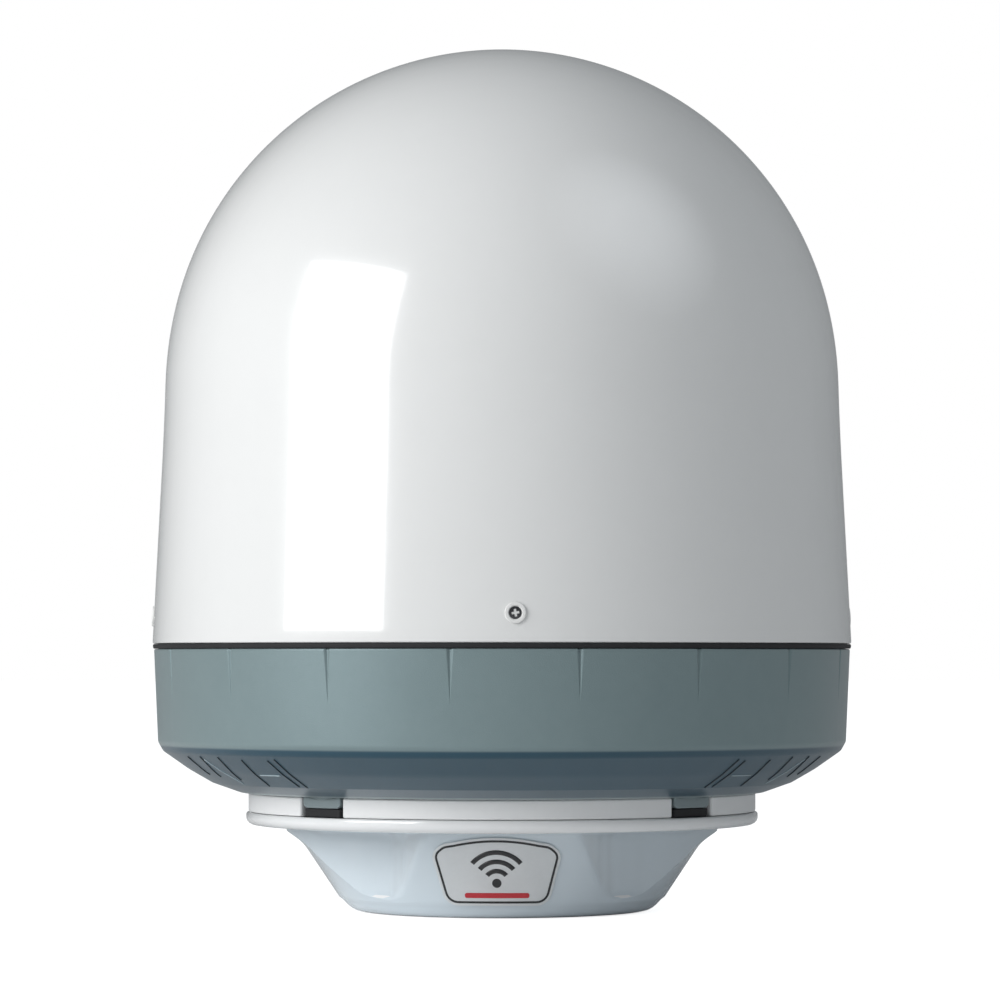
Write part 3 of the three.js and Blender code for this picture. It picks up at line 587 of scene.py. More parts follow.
panParts = [panSurface()]
panParts += [footSurface(angle) for angle in stations]
panParts += [turned([(4.4, 84), (10, 84), (10, 98, 1.2), (4.4, 98, 0.4)], 32, True,
                    turnZ(a) @ shift(160, 0, 0)) for a in stations]
panParts += [turned([(0, 88), (3.5, 88), (3.5, 95, 0.4), (0, 95)], 20, False, shift(x, y, 0))
             for x in (-60, 60) for y in (118, 158)]
makePiece("basePan", panParts, "base", "pan_grey", panGrey, "base_pan")
# thin ribs on the bevel: the dark ones are painted shade of engraved grooves, the pale ones painted highlight
# of lit groove edges
slantShade = makeFinish("bevelShadeSeam", light=(0.012, 0.02, 0.026), dark=(0.006, 0.011, 0.015), rough=0.4,
                       mottle=60.0)
slantHighlight = makeFinish("bevelHighlightRung", light=(0.42, 0.50, 0.53), dark=(0.34, 0.42, 0.46), rough=0.35,
                       mottle=60.0)
ribs, rungs = [], []
for side in (-1, 1):
    for foot, head, low, high in ((40.4, 41.0, 0.02, 0.9), (42.2, 42.8, 0.04, 0.86), (50.6, 49.2, 0.04, 0.86),
                                  (57.6, 55.2, 0.22, 0.92), (64.4, 61.2, 0.3, 0.92),
                                  (68.6, 66.8, 0.36, 0.9)):
        ribs.append(slantRib(side * foot + 1, side * head + 1, low, high, 0.5))
    rungs += [slantRib(side * 43.6 + 1, side * 48.8 + 1, 0.42, 0.42, 0.45),
              slantRib(side * 59 + 1, side * 61 + 1, 0.08, 0.84, 0.4)]
makePiece("bevelShadeSeams", ribs, "base", "pan_grey", slantShade)
makePiece("bevelHighlightRungs", rungs, "base", "pan_grey", slantHighlight)
print("pan made")

flangeFinish = dict(light=(0.92, 0.925, 0.925), dark=(0.885, 0.89, 0.895), rough=0.3, mottle=22.0,
                    grain=700.0,
                    depth=0.08, cells=0.2, coat=0.2, coatRough=0.15)
spacerWhite = makeFinish("spacerNylon", **flangeFinish)


# the spacer's outline: arcs of its outer circle, with a round-cornered notch at each foot
def spacerOutline():
    corners = []
    reach = math.degrees(math.asin(20 / 179.8))
    for station in stations:
        for x, y, r in ((math.sqrt(179.8 ** 2 - 400), -20, 2.0), (138, -20, 2.0), (138, 20, 2.0),
                        (math.sqrt(179.8 ** 2 - 400), 20, 2.0)):
            a = math.radians(station)
            corners.append((x * math.cos(a) - y * math.sin(a), x * math.sin(a) + y * math.cos(a), r))
        for a in np.radians(np.linspace(station + reach + 1.6, station + 90 - reach - 1.6, 36)):
            corners.append((179.8 * math.cos(a), 179.8 * math.sin(a), 0))
    return roundedPath(corners, 6.0, closed=True)


spacerLine = spacerOutline()
innerLine = spacerLine / np.linalg.norm(spacerLine, axis=1, keepdims=True) * 128
makePiece("spacerRing", plate(spacerLine, 70.3, 83.7, 1.3, innerLine), "base", "spacer_white", spacerWhite,
          "spacer_ring")
pads = [plate(roundBox(36.5, 35.2, 2.2, (159.75, 0)), 70.3, 76, 0.7, matrix=turnZ(a)) for a in stations]
stationNames = ("front_left", "front_right", "rear_right", "rear_left")
makePiece("rubberPads", pads, "base", "pad_rubber", rubberBlack, *["rubber_pad_" + n for n in stationNames])

steelFinish = dict(light=(0.62, 0.63, 0.64), dark=(0.50, 0.51, 0.52), rough=0.26, spread=0.14, mottle=70.0,
                   metallic=1.0, depth=0.15, machined=True)
stainless = makeFinish("stainlessSteel", **steelFinish)


# a sunk socket-head bolt: an eased drum with a hexagon pit in its face, over a ridged shank
def boltParts(matrix):
    thread = [(4 - 0.3 * (i % 2), 66 + 0.62 * i) for i in range(46)]
    face = circle(7.5, 66)
    pit = roundedPath([(3 * math.cos(a), 3 * math.sin(a), 0.3) for a in np.arange(6) * math.pi / 3], 0.75,
                      closed=True)
    pit = pit[np.linspace(0, len(pit) - 1, 66).astype(int)]
    head = np.stack([np.column_stack([loop * scale, np.full(66, z)]) for loop, scale, z in (
        (pit, 0, 64), (pit, 0.97, 64), (pit, 1, 63.9), (pit, 1, 61.4), (pit, 1.04, 61.3), (face, 0.9, 61.3),
        (face, 0.96, 61.4), (face, 1, 61.8), (face, 1, 65.8), (face, 0.97, 66.2), (face, 0, 66.2))])
    return [surface(head, matrix=matrix), turned([(0, 65)] + thread + [(0, 94.6)], 24, False, matrix)]


bolts = [part for a in stations for part in boltParts(turnZ(a) @ shift(160, 0, 0))]
makePiece("mountingBolts", bolts, "base", "bolt_steel", stainless,
          *["mounting_bolt_" + n for n in stationNames])
print("spacer, pads and bolts made")

podFinish = dict(light=(0.91, 0.915, 0.92), dark=(0.875, 0.885, 0.89), rough=0.2, spread=0.08, mottle=16.0,
                 contrast=1.2, grain=600.0, depth=0.04, cells=0.2, coat=1.0, coatRough=0.06)
podWhite = makeFinish("podGelcoat", **podFinish)
# painted shade and painted reflection: below the flange the pod's faces that don't look up take a darker
# bluish colour
podPaintedShade = dict(colour=(0.64, 0.735, 0.80), top=60.5, softness=0.8)
addLowerShadeAndTone(podWhite, podPaintedShade["colour"], podPaintedShade["top"], podPaintedShade["softness"], 0.85)

pod = dict(slope=0.67, foot=109.0, fillet=10.0, flangeRadius=181.4, columns=480, planSoftness=1.7,
           planBearing=(0, 12, 20, 28, 34, 41, 48, 55, 62, 71, 80, 90),
           planRadius=(215, 176, 149, 132.5, 122, 115.6, 116.0, 119.2, 126.2, 135, 144, 154))


# the pod's radius: the smaller of its cone and the pocket walls' plan, joined softly beside the badge and
# sharply along the outer crease; rows run to the crease, then to the fillet under the flange
def podSurface():
    phi = np.linspace(0, 2 * np.pi, pod["columns"], endpoint=False)
    fromFront = (np.degrees(phi) + 90 + 180) % 360 - 180
    fromEnd = np.where(np.abs(fromFront) > 90, 180 - np.abs(fromFront), np.abs(fromFront))
    plan = np.interp(fromEnd, pod["planBearing"], pod["planRadius"])
    spread = np.arange(-30, 31) * 360 / pod["columns"]
    weights = np.exp(-(spread / pod["planSoftness"]) ** 2)
    plan = np.convolve(np.concatenate([plan[-30:], plan, plan[:30]]), weights / weights.sum(), 'valid')
    soft = 0.3 + 3.2 * (1 - ease(33, 46, fromEnd))

    def wallRadius(z):
        # the wall's foot runs out in a short round bowl
        return plan + 2.4 * (1 - ease(9, 17, z)) * (1 - ease(52, 64, fromEnd))

    def bodyRadius(z):
        # near the ends the cone flares out to the flange with the square of the height above its start
        cone = pod["foot"] + pod["slope"] * z + 0.045 * np.maximum(z - 44, 0) ** 2 * ease(62, 80, fromEnd)
        wall = wallRadius(z)
        h = np.clip(0.5 + 0.5 * (wall - cone) / soft, 0, 1)
        return wall * (1 - h) + cone * h - soft * h * (1 - h)

    crease = np.full_like(phi, 15.0)
    for step in range(30):
        crease = 0.5 * crease + 0.5 * np.clip((wallRadius(crease) - pod["foot"]) / pod["slope"], 11, 48)
    fillet = 2 + (pod["fillet"] - 2) * ease(20, 36, fromEnd) * (1 - ease(66, 84, fromEnd))
    start = 61 - fillet
    rows = []
    for r, z in ((25, 0.6), (25.6, 0), (60, 0), (98, 0), (101, 0.25), (105, 1.2), (107.4, 2.5), (109.6, 4.3),
                 (111.4, 6.2), (113.3, 8.2)):
        rows.append((np.full_like(phi, r), np.full_like(phi, z)))
    shares = np.concatenate([np.linspace(0, 0.94, 12), [0.985, 1.0]])
    for share in shares:
        z = 10 + (crease - 10) * share
        rows.append((bodyRadius(z), z))
    for share in np.concatenate([[0.012, 0.05], np.linspace(0.1, 1, 20)]):
        z = crease + (start - crease) * share
        rows.append((bodyRadius(z), z))
    edge = bodyRadius(start)
    lean = np.minimum(edge, bodyRadius(start - 1) + 0.67)
    for a in np.linspace(0, math.pi / 2, 9)[1:]:
        rows.append((lean + fillet * (1 - math.cos(a)), start + fillet * math.sin(a)))
    inner = lean + fillet
    for share in (0.03, 0.3, 0.6, 0.97):
        rows.append((inner + (174.4 - inner) * share, np.full_like(phi, 61.0)))
    rim = pod["flangeRadius"]
    for r, z in ((175.4, 61.0), (177.6, 61.35), (179.4, 62.3), (180.7, 63.7), (181.3, 65.4), (rim, 66.4),
                 (rim, 68.4),
                 (181.15, 69.2), (180.6, 69.75), (179.8, 70), (179.2, 70), (150, 70), (106, 70),
                 (105.3, 69.7), (105, 69),
                 (105, 60)):
        rows.append((np.full_like(phi, r), np.full_like(phi, z)))
    for z in np.linspace(59.5, 8, 12):
        rows.append((np.minimum(bodyRadius(np.full_like(phi, max(z, 12))) - 6, 140), np.full_like(phi, z)))
    for r, z in ((60, 8), (25.6, 8), (25, 7.4)):
        rows.append((np.full_like(phi, r), np.full_like(phi, z)))
    radius = np.stack([r for r, z in rows])
    height = np.stack([z for r, z in rows])
    return surface(np.stack([radius * np.cos(phi), radius * np.sin(phi), height], -1), closeRows=True)


makePiece("mountingPod", podSurface(), "base", "pod_white", podWhite, "mounting_pod")

badgeFinish = dict(light=(0.76, 0.78, 0.79), dark=(0.68, 0.70, 0.71), rough=0.33, spread=0.10, mottle=45.0,
                   metallic=0.35, depth=0.1, machined=True, coat=0.3, coatRough=0.15)
badgeSilver = makeFinish("badgeSatinSilver", **badgeFinish)
badgeBlack = makeFinish("badgeBlackInk", light=(0.018, 0.019, 0.021), dark=(0.010, 0.011, 0.013), rough=0.3,
                        mottle=80.0, grain=1500.0, depth=0.05, coat=0.3)
badgeRed = makeFinish("badgeRedInk", light=(0.60, 0.022, 0.035), dark=(0.50, 0.016, 0.026), rough=0.32,
                      mottle=80.0, grain=1500.0, depth=0.05, coat=0.3)

badge = dict(turn=-1.6, thickness=1.2, lineInset=1.7, lineWidth=1.5, ink=0.16, dotHeight=25.5, dotRadius=3.2,
             arcRadii=(8.5, 15.0, 21.5), arcWidth=3.2, arcSpan=50, barHeight=16.8, barWidth=44, barDepth=3.6)


# lays a flat grid of (across, up, proud) on the pod's cone: y = -sqrt(cone radius squared - across squared)
def onPod(points):
    across, up, proud = points[..., 0], points[..., 1], points[..., 2]
    radius = pod["foot"] + pod["slope"] * up + 0.3 + proud
    bent = np.stack([across, -np.sqrt(radius ** 2 - across ** 2), up], -1)
    return surface(bent, matrix=turnZ(badge["turn"]))


# the badge's outline: a foot narrower than its sides, under a domed top
def badgeOutline():
    dome = [(x, 57.2 - 5.4 * (x / 37) ** 2, 0) for x in np.linspace(29, -29, 23)]
    right = [(35, 9.5, 11.0), (44.6, 46, 8.0), (37.0, 52.6, 10.0)]
    left = [(-x, y, corner) for x, y, corner in right[::-1]]
    return roundedPath([left[-1]] + right + dome + left[:-1], 3.0, closed=True)


# a flat band between two drawn-in copies of an outline, proud by the ink's thickness
def inkBand(outline, inset, width):
    out = outward(outline)
    base = badge["thickness"]
    rows = [(inset, base - 0.1), (inset, base + badge["ink"] - 0.05), (inset + 0.05, base + badge["ink"]),
            (inset + width - 0.05, base + badge["ink"]), (inset + width, base + badge["ink"] - 0.05),
            (inset + width, base - 0.1)]
    points = np.stack([np.column_stack([outline - out * d, np.full(len(outline), h)]) for d, h in rows])
    flat, quads = onPod(points)
    count = len(outline)
    last = np.column_stack([np.arange(count) + 5 * count, (np.arange(count) + 1) % count + 5 * count,
                            (np.arange(count) + 1) % count, np.arange(count)])
    return flat, np.vstack([quads, last])


# a filled mark on the badge
def inkMark(outline):
    base = badge["thickness"]
    return onPod(plateGrid(outline, base - 0.1, base + badge["ink"], 0.06, rings=1))


# a bow of even width, symmetrical about the vertical: rows across its width, so that its face follows the pod
def bowMark(radius):
    base, top = badge["thickness"] - 0.1, badge["thickness"] + badge["ink"]
    a = np.radians(np.linspace(90 - badge["arcSpan"], 90 + badge["arcSpan"], 33))
    half = badge["arcWidth"] / 2
    rows = []
    for r, h in ((-half, base), (-half, top), (0, top), (half, top), (half, base), (0, base)):
        rows.append(np.column_stack([(radius + r) * np.cos(a), (radius + r) * np.sin(a) + badge["dotHeight"],
                                     np.full(len(a), h)]))
    strip = np.stack(rows)
    ends = [strip.mean(0)[None, :1], strip.mean(0)[None, -1:]]
    closed = np.concatenate([np.repeat(ends[0], 6, 0), strip, np.repeat(ends[1], 6, 0)], 1)
    across, up, proud = closed[..., 0], closed[..., 1], closed[..., 2]
    cone = pod["foot"] + pod["slope"] * up + 0.3 + proud
    bent = np.stack([across, -np.sqrt(cone ** 2 - across ** 2), up], -1)
    return surface(bent, closeRows=True, closeColumns=False, matrix=turnZ(badge["turn"]))


badgeLine = badgeOutline()
badgePlate = onPod(plateGrid(badgeLine, 0, badge["thickness"], 0.45, rings=12))
makePiece("badgePlate", badgePlate, "base", "badge_silver", badgeSilver, "pod_badge")
dot = inkMark(circle(badge["dotRadius"], 36, (0, badge["dotHeight"])))
marks = [inkBand(badgeLine, badge["lineInset"], badge["lineWidth"]),
         dot] + [bowMark(r) for r in badge["arcRadii"]]
makePiece("badgeBlackMarks", marks, "base", "black_plastic", badgeBlack)
bar = inkMark(roundBox(badge["barWidth"], badge["barDepth"], 1.4, (0, badge["barHeight"]), 3.0))
makePiece("badgeRedBar", bar, "base", "black_plastic", badgeRed)
print("pod and badge made")

castGrey = makeFinish("castAluminium", light=(0.50, 0.51, 0.52), dark=(0.40, 0.41, 0.42), rough=0.48,
                      spread=0.14,
                      mottle=40.0, metallic=0.75, grain=700.0, depth=0.35, cells=0.8, dust=0.12)
frameAluminium = makeFinish("brushedAluminium", light=(0.66, 0.67, 0.68), dark=(0.56, 0.57, 0.58), rough=0.34,
                            spread=0.12, mottle=50.0, metallic=1.0, depth=0.3, machined=True, dust=0.08)
bearingSteel = makeFinish("bearingSteel", light=(0.60, 0.60, 0.61), dark=(0.48, 0.48, 0.50), rough=0.2,
                          spread=0.1,
                          mottle=90.0, metallic=1.0, depth=0.1, machined=True)
gearNylon = makeFinish("gearNylon", light=(0.72, 0.70, 0.62), dark=(0.64, 0.62, 0.54), rough=0.42,
                       mottle=60.0,
                       grain=900.0, depth=0.12, cells=0.4, dust=0.06)
gearSteel = makeFinish("gearBrass", light=(0.66, 0.52, 0.30), dark=(0.50, 0.38, 0.20), rough=0.3, spread=0.14,
                       mottle=120.0, metallic=1.0, depth=0.2, machined=True)
blackPlastic = makeFinish("blackHousing", light=(0.032, 0.033, 0.035), dark=(0.018, 0.019, 0.021), rough=0.45,
                          spread=0.12, mottle=60.0, grain=1100.0, depth=0.25, cells=0.8, dust=0.10)
laminations = makeFinish("motorLaminations", light=(0.10, 0.10, 0.105), dark=(0.05, 0.05, 0.055), rough=0.4,
                         spread=0.12, mottle=160.0, metallic=0.8, depth=0.4, machined=True)
boardGreen = makeFinish("boardSolderMask", light=(0.018, 0.135, 0.055), dark=(0.010, 0.085, 0.034),
                        rough=0.28,
                        spread=0.08, mottle=220.0, contrast=3.0, grain=500.0, depth=0.10, coat=0.3,
                        coatRough=0.2)
tinPlate = makeFinish("tinnedContacts", light=(0.72, 0.70, 0.64), dark=(0.56, 0.54, 0.48), rough=0.3,
                      spread=0.12,
                      mottle=200.0, metallic=1.0, grain=800.0, depth=0.1)
copperWire = makeFinish("enamelledCopper", light=(0.55, 0.20, 0.07), dark=(0.38, 0.12, 0.04), rough=0.3,
                        spread=0.1,
                        mottle=140.0, metallic=0.9, grain=500.0, depth=0.1)
dishWhite = makeFinish("dishPowderCoat", light=(0.78, 0.78, 0.77), dark=(0.72, 0.72, 0.71), rough=0.42,
                       spread=0.08,
                       mottle=20.0, grain=1000.0, depth=0.14, cells=0.7, dust=0.05)
feedPlastic = makeFinish("feedIvory", light=(0.66, 0.63, 0.55), dark=(0.57, 0.54, 0.46), rough=0.38,
                         spread=0.08,
                         mottle=40.0, grain=900.0, depth=0.1)
weightSteel = makeFinish("weightZinc", light=(0.46, 0.47, 0.47), dark=(0.32, 0.33, 0.34), rough=0.42,
                         spread=0.2,
                         mottle=70.0, contrast=2.4, metallic=0.9, grain=260.0, depth=0.2, cells=0.9)
wireBlack = makeFinish("wireSleeve", light=(0.022, 0.022, 0.024), dark=(0.012, 0.012, 0.014), rough=0.45,
                       mottle=200.0,
                       grain=900.0, depth=0.1)
wireRed = makeFinish("wireRed", light=(0.42, 0.02, 0.02), dark=(0.30, 0.012, 0.012), rough=0.4, mottle=200.0,
                     grain=900.0, depth=0.1)

# the finishes of the frame's own nodes that stay in sight
keptFinishes = dict(turntable=castGrey, arm_left=frameAluminium, arm_right=frameAluminium,
                    azimuth_ring_gear=gearNylon,
                    azimuth_pinion=gearSteel, elevation_pinion=gearSteel, skew_pinion=gearSteel,
                    skew_gear=gearNylon,
                    elevation_sector_gear=bearingSteel, elevation_cradle=frameAluminium)
for nodeName, finishMaterial in keptFinishes.items():
    for slot in frame["nodes"][nodeName].material_slots:
        slot.material = finishMaterial


# a small cap screw head: an eased drum with a dished top
def capHead(radius, low, height, matrix):
    return turned([(0, low), (radius, low), (radius, low + height, radius * 0.18),
                   (radius * 0.55, low + height, 0.1),
                   (radius * 0.5, low + height * 0.45, 0.1), (0, low + height * 0.45)], 20, False, matrix)


connectorValues = dict(row=92, low=62, high=90.1, wall=2.5, collarLow=79.7, collarHigh=83.7, collarReach=4,
                       threadStart=62.6, threadPitch=0.5, threadDepth=0.35, turns=33)


# a round connector: a threaded barrel, whose radius alternates up the thread, in a hexagon collar
def connectorParts(x, radius):
    place = shift(x, connectorValues["row"], 0)
    inner, top = radius - connectorValues["wall"], connectorValues["high"]
    thread = [(radius - connectorValues["threadDepth"] * (i % 2),
               connectorValues["threadStart"] + connectorValues["threadPitch"] * i)
              for i in range(connectorValues["turns"])]
    ends = [(radius, connectorValues["collarHigh"]), (radius, top, 0.3), (inner, top, 0.2)]
    barrel = turned([(inner, connectorValues["low"], 0.2)] + thread + ends, 32, True, place)
    collarLine = hexagon(radius + connectorValues["collarReach"], corner=0.6)
    bore = collarLine / np.linalg.norm(collarLine, axis=1, keepdims=True) * (radius - 0.2)
    return [barrel, plate(collarLine, connectorValues["collarLow"], connectorValues["collarHigh"], 0.5, bore,
                          place)]


# the black insert inside a connector
def insertPart(x, radius):
    reach = radius - 2.3
    return turned([(0, 78), (reach, 78, 0.4), (reach, 89.9, 0.4), (0, 89.9)], 32, False,
                  shift(x, connectorValues["row"], 0))


# a connector's pins, spread evenly round its middle
def pinParts(x, radius, count):
    circleRadius = radius - 5
    spots = [shift(x + circleRadius * math.cos(a), connectorValues["row"] + circleRadius * math.sin(a), 0)
             for a in np.linspace(0, 2 * math.pi, count, endpoint=False)]
    return [turned([(0, 72), (0.7, 72.6, 0.3), (0.7, 78.2), (0, 78.2)], 12, False, spot) for spot in spots]


sockets = (("power", "power_connector", 0, 9.0, 6), ("signalLeft", "signal_connector_left", -26, 5.5, 1),
           ("signalRight", "signal_connector_right", 26, 5.5, 1))
for title, node, x, radius, pins in sockets:
    makePiece(title + "Connector", connectorParts(x, radius), "base", "connector_steel", stainless, node)
    makePiece(title + "Insert", insertPart(x, radius), "base", "black_plastic", blackPlastic)
    makePiece(title + "Pins", pinParts(x, max(radius, 5.6), pins), "base", "connector_steel", tinPlate)

postValues = dict(bore=11, wall=18, flange=40, foot=89.6, flangeTop=93.6, top=150, screwCircle=31,
                  screwCount=6)
bore, wall, flange = postValues["bore"], postValues["wall"], postValues["flange"]
foot, flangeTop, top = postValues["foot"], postValues["flangeTop"], postValues["top"]
azimuthPost = [turned([(bore, foot, 0.5), (flange, foot, 0.6), (flange, flangeTop, 1.0), (22, flangeTop, 1.5),
                       (wall, 97.5, 1.5), (wall, top, 0.8), (bore, top, 0.4)], 80, True)]
onCircle = shift(postValues["screwCircle"], 0, 0)
azimuthPost += [capHead(3, 93.2, 3.2, turnZ(360 / postValues["screwCount"] * i) @ onCircle)
                for i in range(postValues["screwCount"])]
makePiece("azimuthPost", azimuthPost, "base", "cast_grey", castGrey, "azimuth_post")
slipRing = dict(statorRadius=10.6, statorLow=92, statorHigh=149)
statorLine = [(0, slipRing["statorLow"]), (slipRing["statorRadius"], slipRing["statorLow"], 0.6),
              (slipRing["statorRadius"], slipRing["statorHigh"], 0.6), (0, slipRing["statorHigh"])]
makePiece("slipRingStator", turned(statorLine, 48), "base", "black_plastic", blackPlastic,
          "rotary_joint_stator")
rotor = [turned([(0, 150.3), (17, 150.3, 0.8), (17, 154, 0.3), (16.2, 154.4, 0.2), (16.2, 155.4, 0.2),
                 (17, 155.8, 0.3),
                 (17, 164.3, 1.4), (9.5, 164.3, 0.6), (9, 165, 0.4), (9, 174.3, 1.0), (0, 174.3)], 60)]
rotor += [capHead(1.6, 164.1, 1.4, turnZ(45 + 90 * i) @ shift(13, 0, 0)) for i in range(4)]
makePiece("slipRingRotor", rotor, "azimuth_stage", "black_plastic", blackPlastic, "rotary_joint_rotor")


# a shielded ball bearing: two rings with a sunk shield between them
def bearingRing(bore, outer, low, high, matrix=None):
    wall = (outer - bore) * 0.24
    a, b = bore + wall, outer - wall
    return turned([(bore, low, 0.4), (a, low, 0.2), (a + 0.2, low + 0.7, 0.1), (b - 0.2, low + 0.7, 0.1),
                   (b, low, 0.2),
                   (outer, low, 0.5), (outer, high, 0.5), (b, high, 0.2), (b - 0.2, high - 0.7, 0.1),
                   (a + 0.2, high - 0.7, 0.1), (a, high, 0.2), (bore, high, 0.4)], 64, True, matrix)


trunnion = shift(0, 0, tiltCentre.z * 1000) @ alongX
bearings = dict(azimuthBore=18.3, azimuthOuter=24, azimuthWidth=8, lows=dict(lower=106, upper=138),
                tiltBore=8.2, tiltOuter=13.7, tiltLow=156.2, tiltHigh=163.8)
for level, low in bearings["lows"].items():
    race = bearingRing(bearings["azimuthBore"], bearings["azimuthOuter"], low, low + bearings["azimuthWidth"])
    makePiece("azimuthBearing_" + level, race, "azimuth_stage", "bearing_steel", bearingSteel,
              "azimuth_bearing_" + level)
for side, turn in (("right", 0), ("left", 180)):
    race = bearingRing(bearings["tiltBore"], bearings["tiltOuter"], bearings["tiltLow"], bearings["tiltHigh"],
                       turnZ(turn) @ trunnion)
    makePiece("elevationBearing_" + side, race, "azimuth_stage", "bearing_steel", bearingSteel,
              "elevation_bearing_" + side)


# a square stepper motor: two machined end caps with corner screws about a stack of laminations
def motorPieces(name, size, low, high, bell, body, matrix, node):
    cap = (high - low) * 0.2
    capLine, stackLine = (roundBox(size - 2 * inset, size - 2 * inset, size * 0.09) for inset in (0.05, 0.9))
    caps = [plate(capLine, low, low + cap, 0.7, matrix=matrix),
            plate(capLine, high - cap, high, 0.7, matrix=matrix),
            turned([(0, high - 0.2), (size * 0.26, high - 0.2), (size * 0.26, high + bell, 0.5),
                    (0, high + bell)], 48, False, matrix)]
    caps += [capHead(1.7, high - 0.1, 1.3, matrix @ shift(x * size * 0.37, y * size * 0.37, 0)) for x in (-1,
        1) for y in (-1, 1)]
    count = 9
    edges = np.linspace(low + cap + 0.1, high - cap - 0.1, count + 1)
    stack = [plate(stackLine, a, b - 0.12, 0.25, matrix=matrix) for a, b in zip(edges[:-1], edges[1:])]
    makePiece(name + "Caps", caps, body, "cast_grey", castGrey, node)
    makePiece(name + "Stack", stack, body, "black_plastic", laminations)


motors = dict(azimuthSize=42, azimuthLow=110.3, azimuthHigh=148.3, azimuthPlace=-75, tiltSize=35,
              tiltLow=164.3,
              tiltHigh=194.3, bell=2)
motorPieces("azimuthMotor", motors["azimuthSize"], motors["azimuthLow"], motors["azimuthHigh"],
            motors["bell"],
            "azimuth_stage", shift(motors["azimuthPlace"], 0, 0), "azimuth_motor")
earLow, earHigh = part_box("elevation_motor")
earMiddle = (earLow + earHigh) * 500
motorPieces("elevationMotor", motors["tiltSize"], motors["tiltLow"], motors["tiltHigh"], motors["bell"],
            "azimuth_stage", shift(0, earMiddle.y, earMiddle.z) @ alongX, "elevation_motor")
encoder = turned([(8.4, 164.3, 0.3), (15, 164.3, 0.5), (15, 172.6, 0.8), (13.4, 173.0, 0.3),
                  (13.4, 176.3, 1.0), (0, 176.3),
                  (0, 168.3), (8.4, 168.3)], 64, False, turnZ(180) @ trunnion)
makePiece("elevationEncoder", encoder, "azimuth_stage", "black_plastic", blackPlastic, "elevation_encoder")


# small parts laid out on a board: a list of (x, y, width, depth, height) over its face
def chipParts(layout, face, corner=0.4):
    return [plate(roundBox(w, d, corner, (x, y)), face - 0.1, face + h, 0.25, rings=1) for x, y, w, d,
            h in layout]


# rows of legs down both sides of a chip
def legParts(x, y, width, depth, face, pitch=2.2):
    spots = np.arange(-depth / 2 + pitch / 2, depth / 2, pitch)
    return [plate(roundBox(1.6, 0.8, 0.15, (x + side * (width / 2 + 0.6), y + spot)), face - 0.1, face + 0.5,
                  0.12, rings=1)
            for side in (-1, 1) for spot in spots]


controlFace, supplyFace = 119.9, 96.9
makePiece("controlBoard", plate(roundBox(80, 88, 2.5, (100, 0)), 118.3, controlFace, 0.15), "azimuth_stage",
          "board_green",
          boardGreen, "control_board")
controlChips = chipParts([(100, -2, 24, 24, 2.4), (78, -30, 10, 14, 2.0), (96, -32, 8, 8, 1.6),
                          (112, -34, 6, 8, 1.6),
                          (76, -8, 8, 12, 1.8), (116, 30, 9, 9, 2.2), (72, 6, 5, 5, 1.4)], controlFace)
controlChips += [turned([(0, controlFace), (3.4, controlFace, 0.3), (3.4, controlFace + 7.4, 0.6),
                         (0, controlFace + 7.4)], 24, False,
                        shift(x, y, 0)) for x, y in ((68, -38), (126, 36), (134, 32))]
controlChips.append(plate(roundBox(10, 50, 0.8, (129, -5)), controlFace - 0.1, 128.3, 0.5))
makePiece("controlChips", controlChips, "azimuth_stage", "black_plastic", blackPlastic)
controlTin = [plate(roundBox(38, 20, 1.0, (87, 28)), controlFace - 0.1, 126.3, 0.6)]
controlTin += legParts(78, -30, 10, 14, controlFace) + legParts(76, -8, 8, 12, controlFace) + legParts(116,
    30, 9, 9, controlFace)
controlTin += chipParts([(100 + 13.2 * u, -2 + 13.2 * v + 1.9 * k, 1.4, 0.7, 0.3) for u in (-1,
    1) for v in (0,) for k in range(-6, 7)],
                        controlFace, 0.1)
makePiece("controlContacts", controlTin, "azimuth_stage", "connector_steel", tinPlate)

makePiece("supplyBoard", plate(roundBox(132, 52, 2.5, (0, 138)), 95.3, supplyFace, 0.15), "base",
          "board_green", boardGreen, "power_board")


# a coil: round turns of wire about a ring, their path winding radius r about the ring's radius
def coilPath(centre, ring, radius, turns, height):
    t = np.linspace(0, 2 * np.pi, turns * 14, endpoint=False)
    r = ring + radius * np.cos(turns * t)
    return np.column_stack([centre[0] + r * np.cos(t), centre[1] + r * np.sin(t),
                            height + radius * 0.62 * np.sin(turns * t)])


makePiece("supplyCoil", rod(coilPath((-32, 138), 9.0, 3.6, 34, 99.4), 0.42, 6, closed=True), "base",
          "connector_steel", copperWire)
cans = [turned([(0, supplyFace), (6, supplyFace, 0.4), (6, 101.6, 0.7), (5.2, 101.3, 0.2), (0, 101.3)], 36,
               False, shift(x, 138, 0))
        for x in (8, 26, 44)]
cans += chipParts([(-52, 120, 12, 9, 3.0), (-54, 152, 9, 12, 2.4), (58, 126, 8, 12, 2.6),
                   (18, 156, 14, 6, 2.0), (-6, 120, 8, 6, 1.8),
                   (30, 121, 10, 5, 1.8)], supplyFace)
cans.append(turned([(6.2, 97.4), (11.8, 97.4, 1), (11.8, 101.2, 1), (6.2, 101.2, 1)], 40, True,
                   shift(-32, 138, 0)))
makePiece("supplyCans", cans, "base", "black_plastic", blackPlastic)
makePiece("supplyContacts", legParts(-52, 120, 12, 9, supplyFace) + legParts(58, 126, 8, 12, supplyFace)
          + legParts(18, 156, 14, 6, supplyFace, 1.8), "base", "connector_steel", tinPlate)


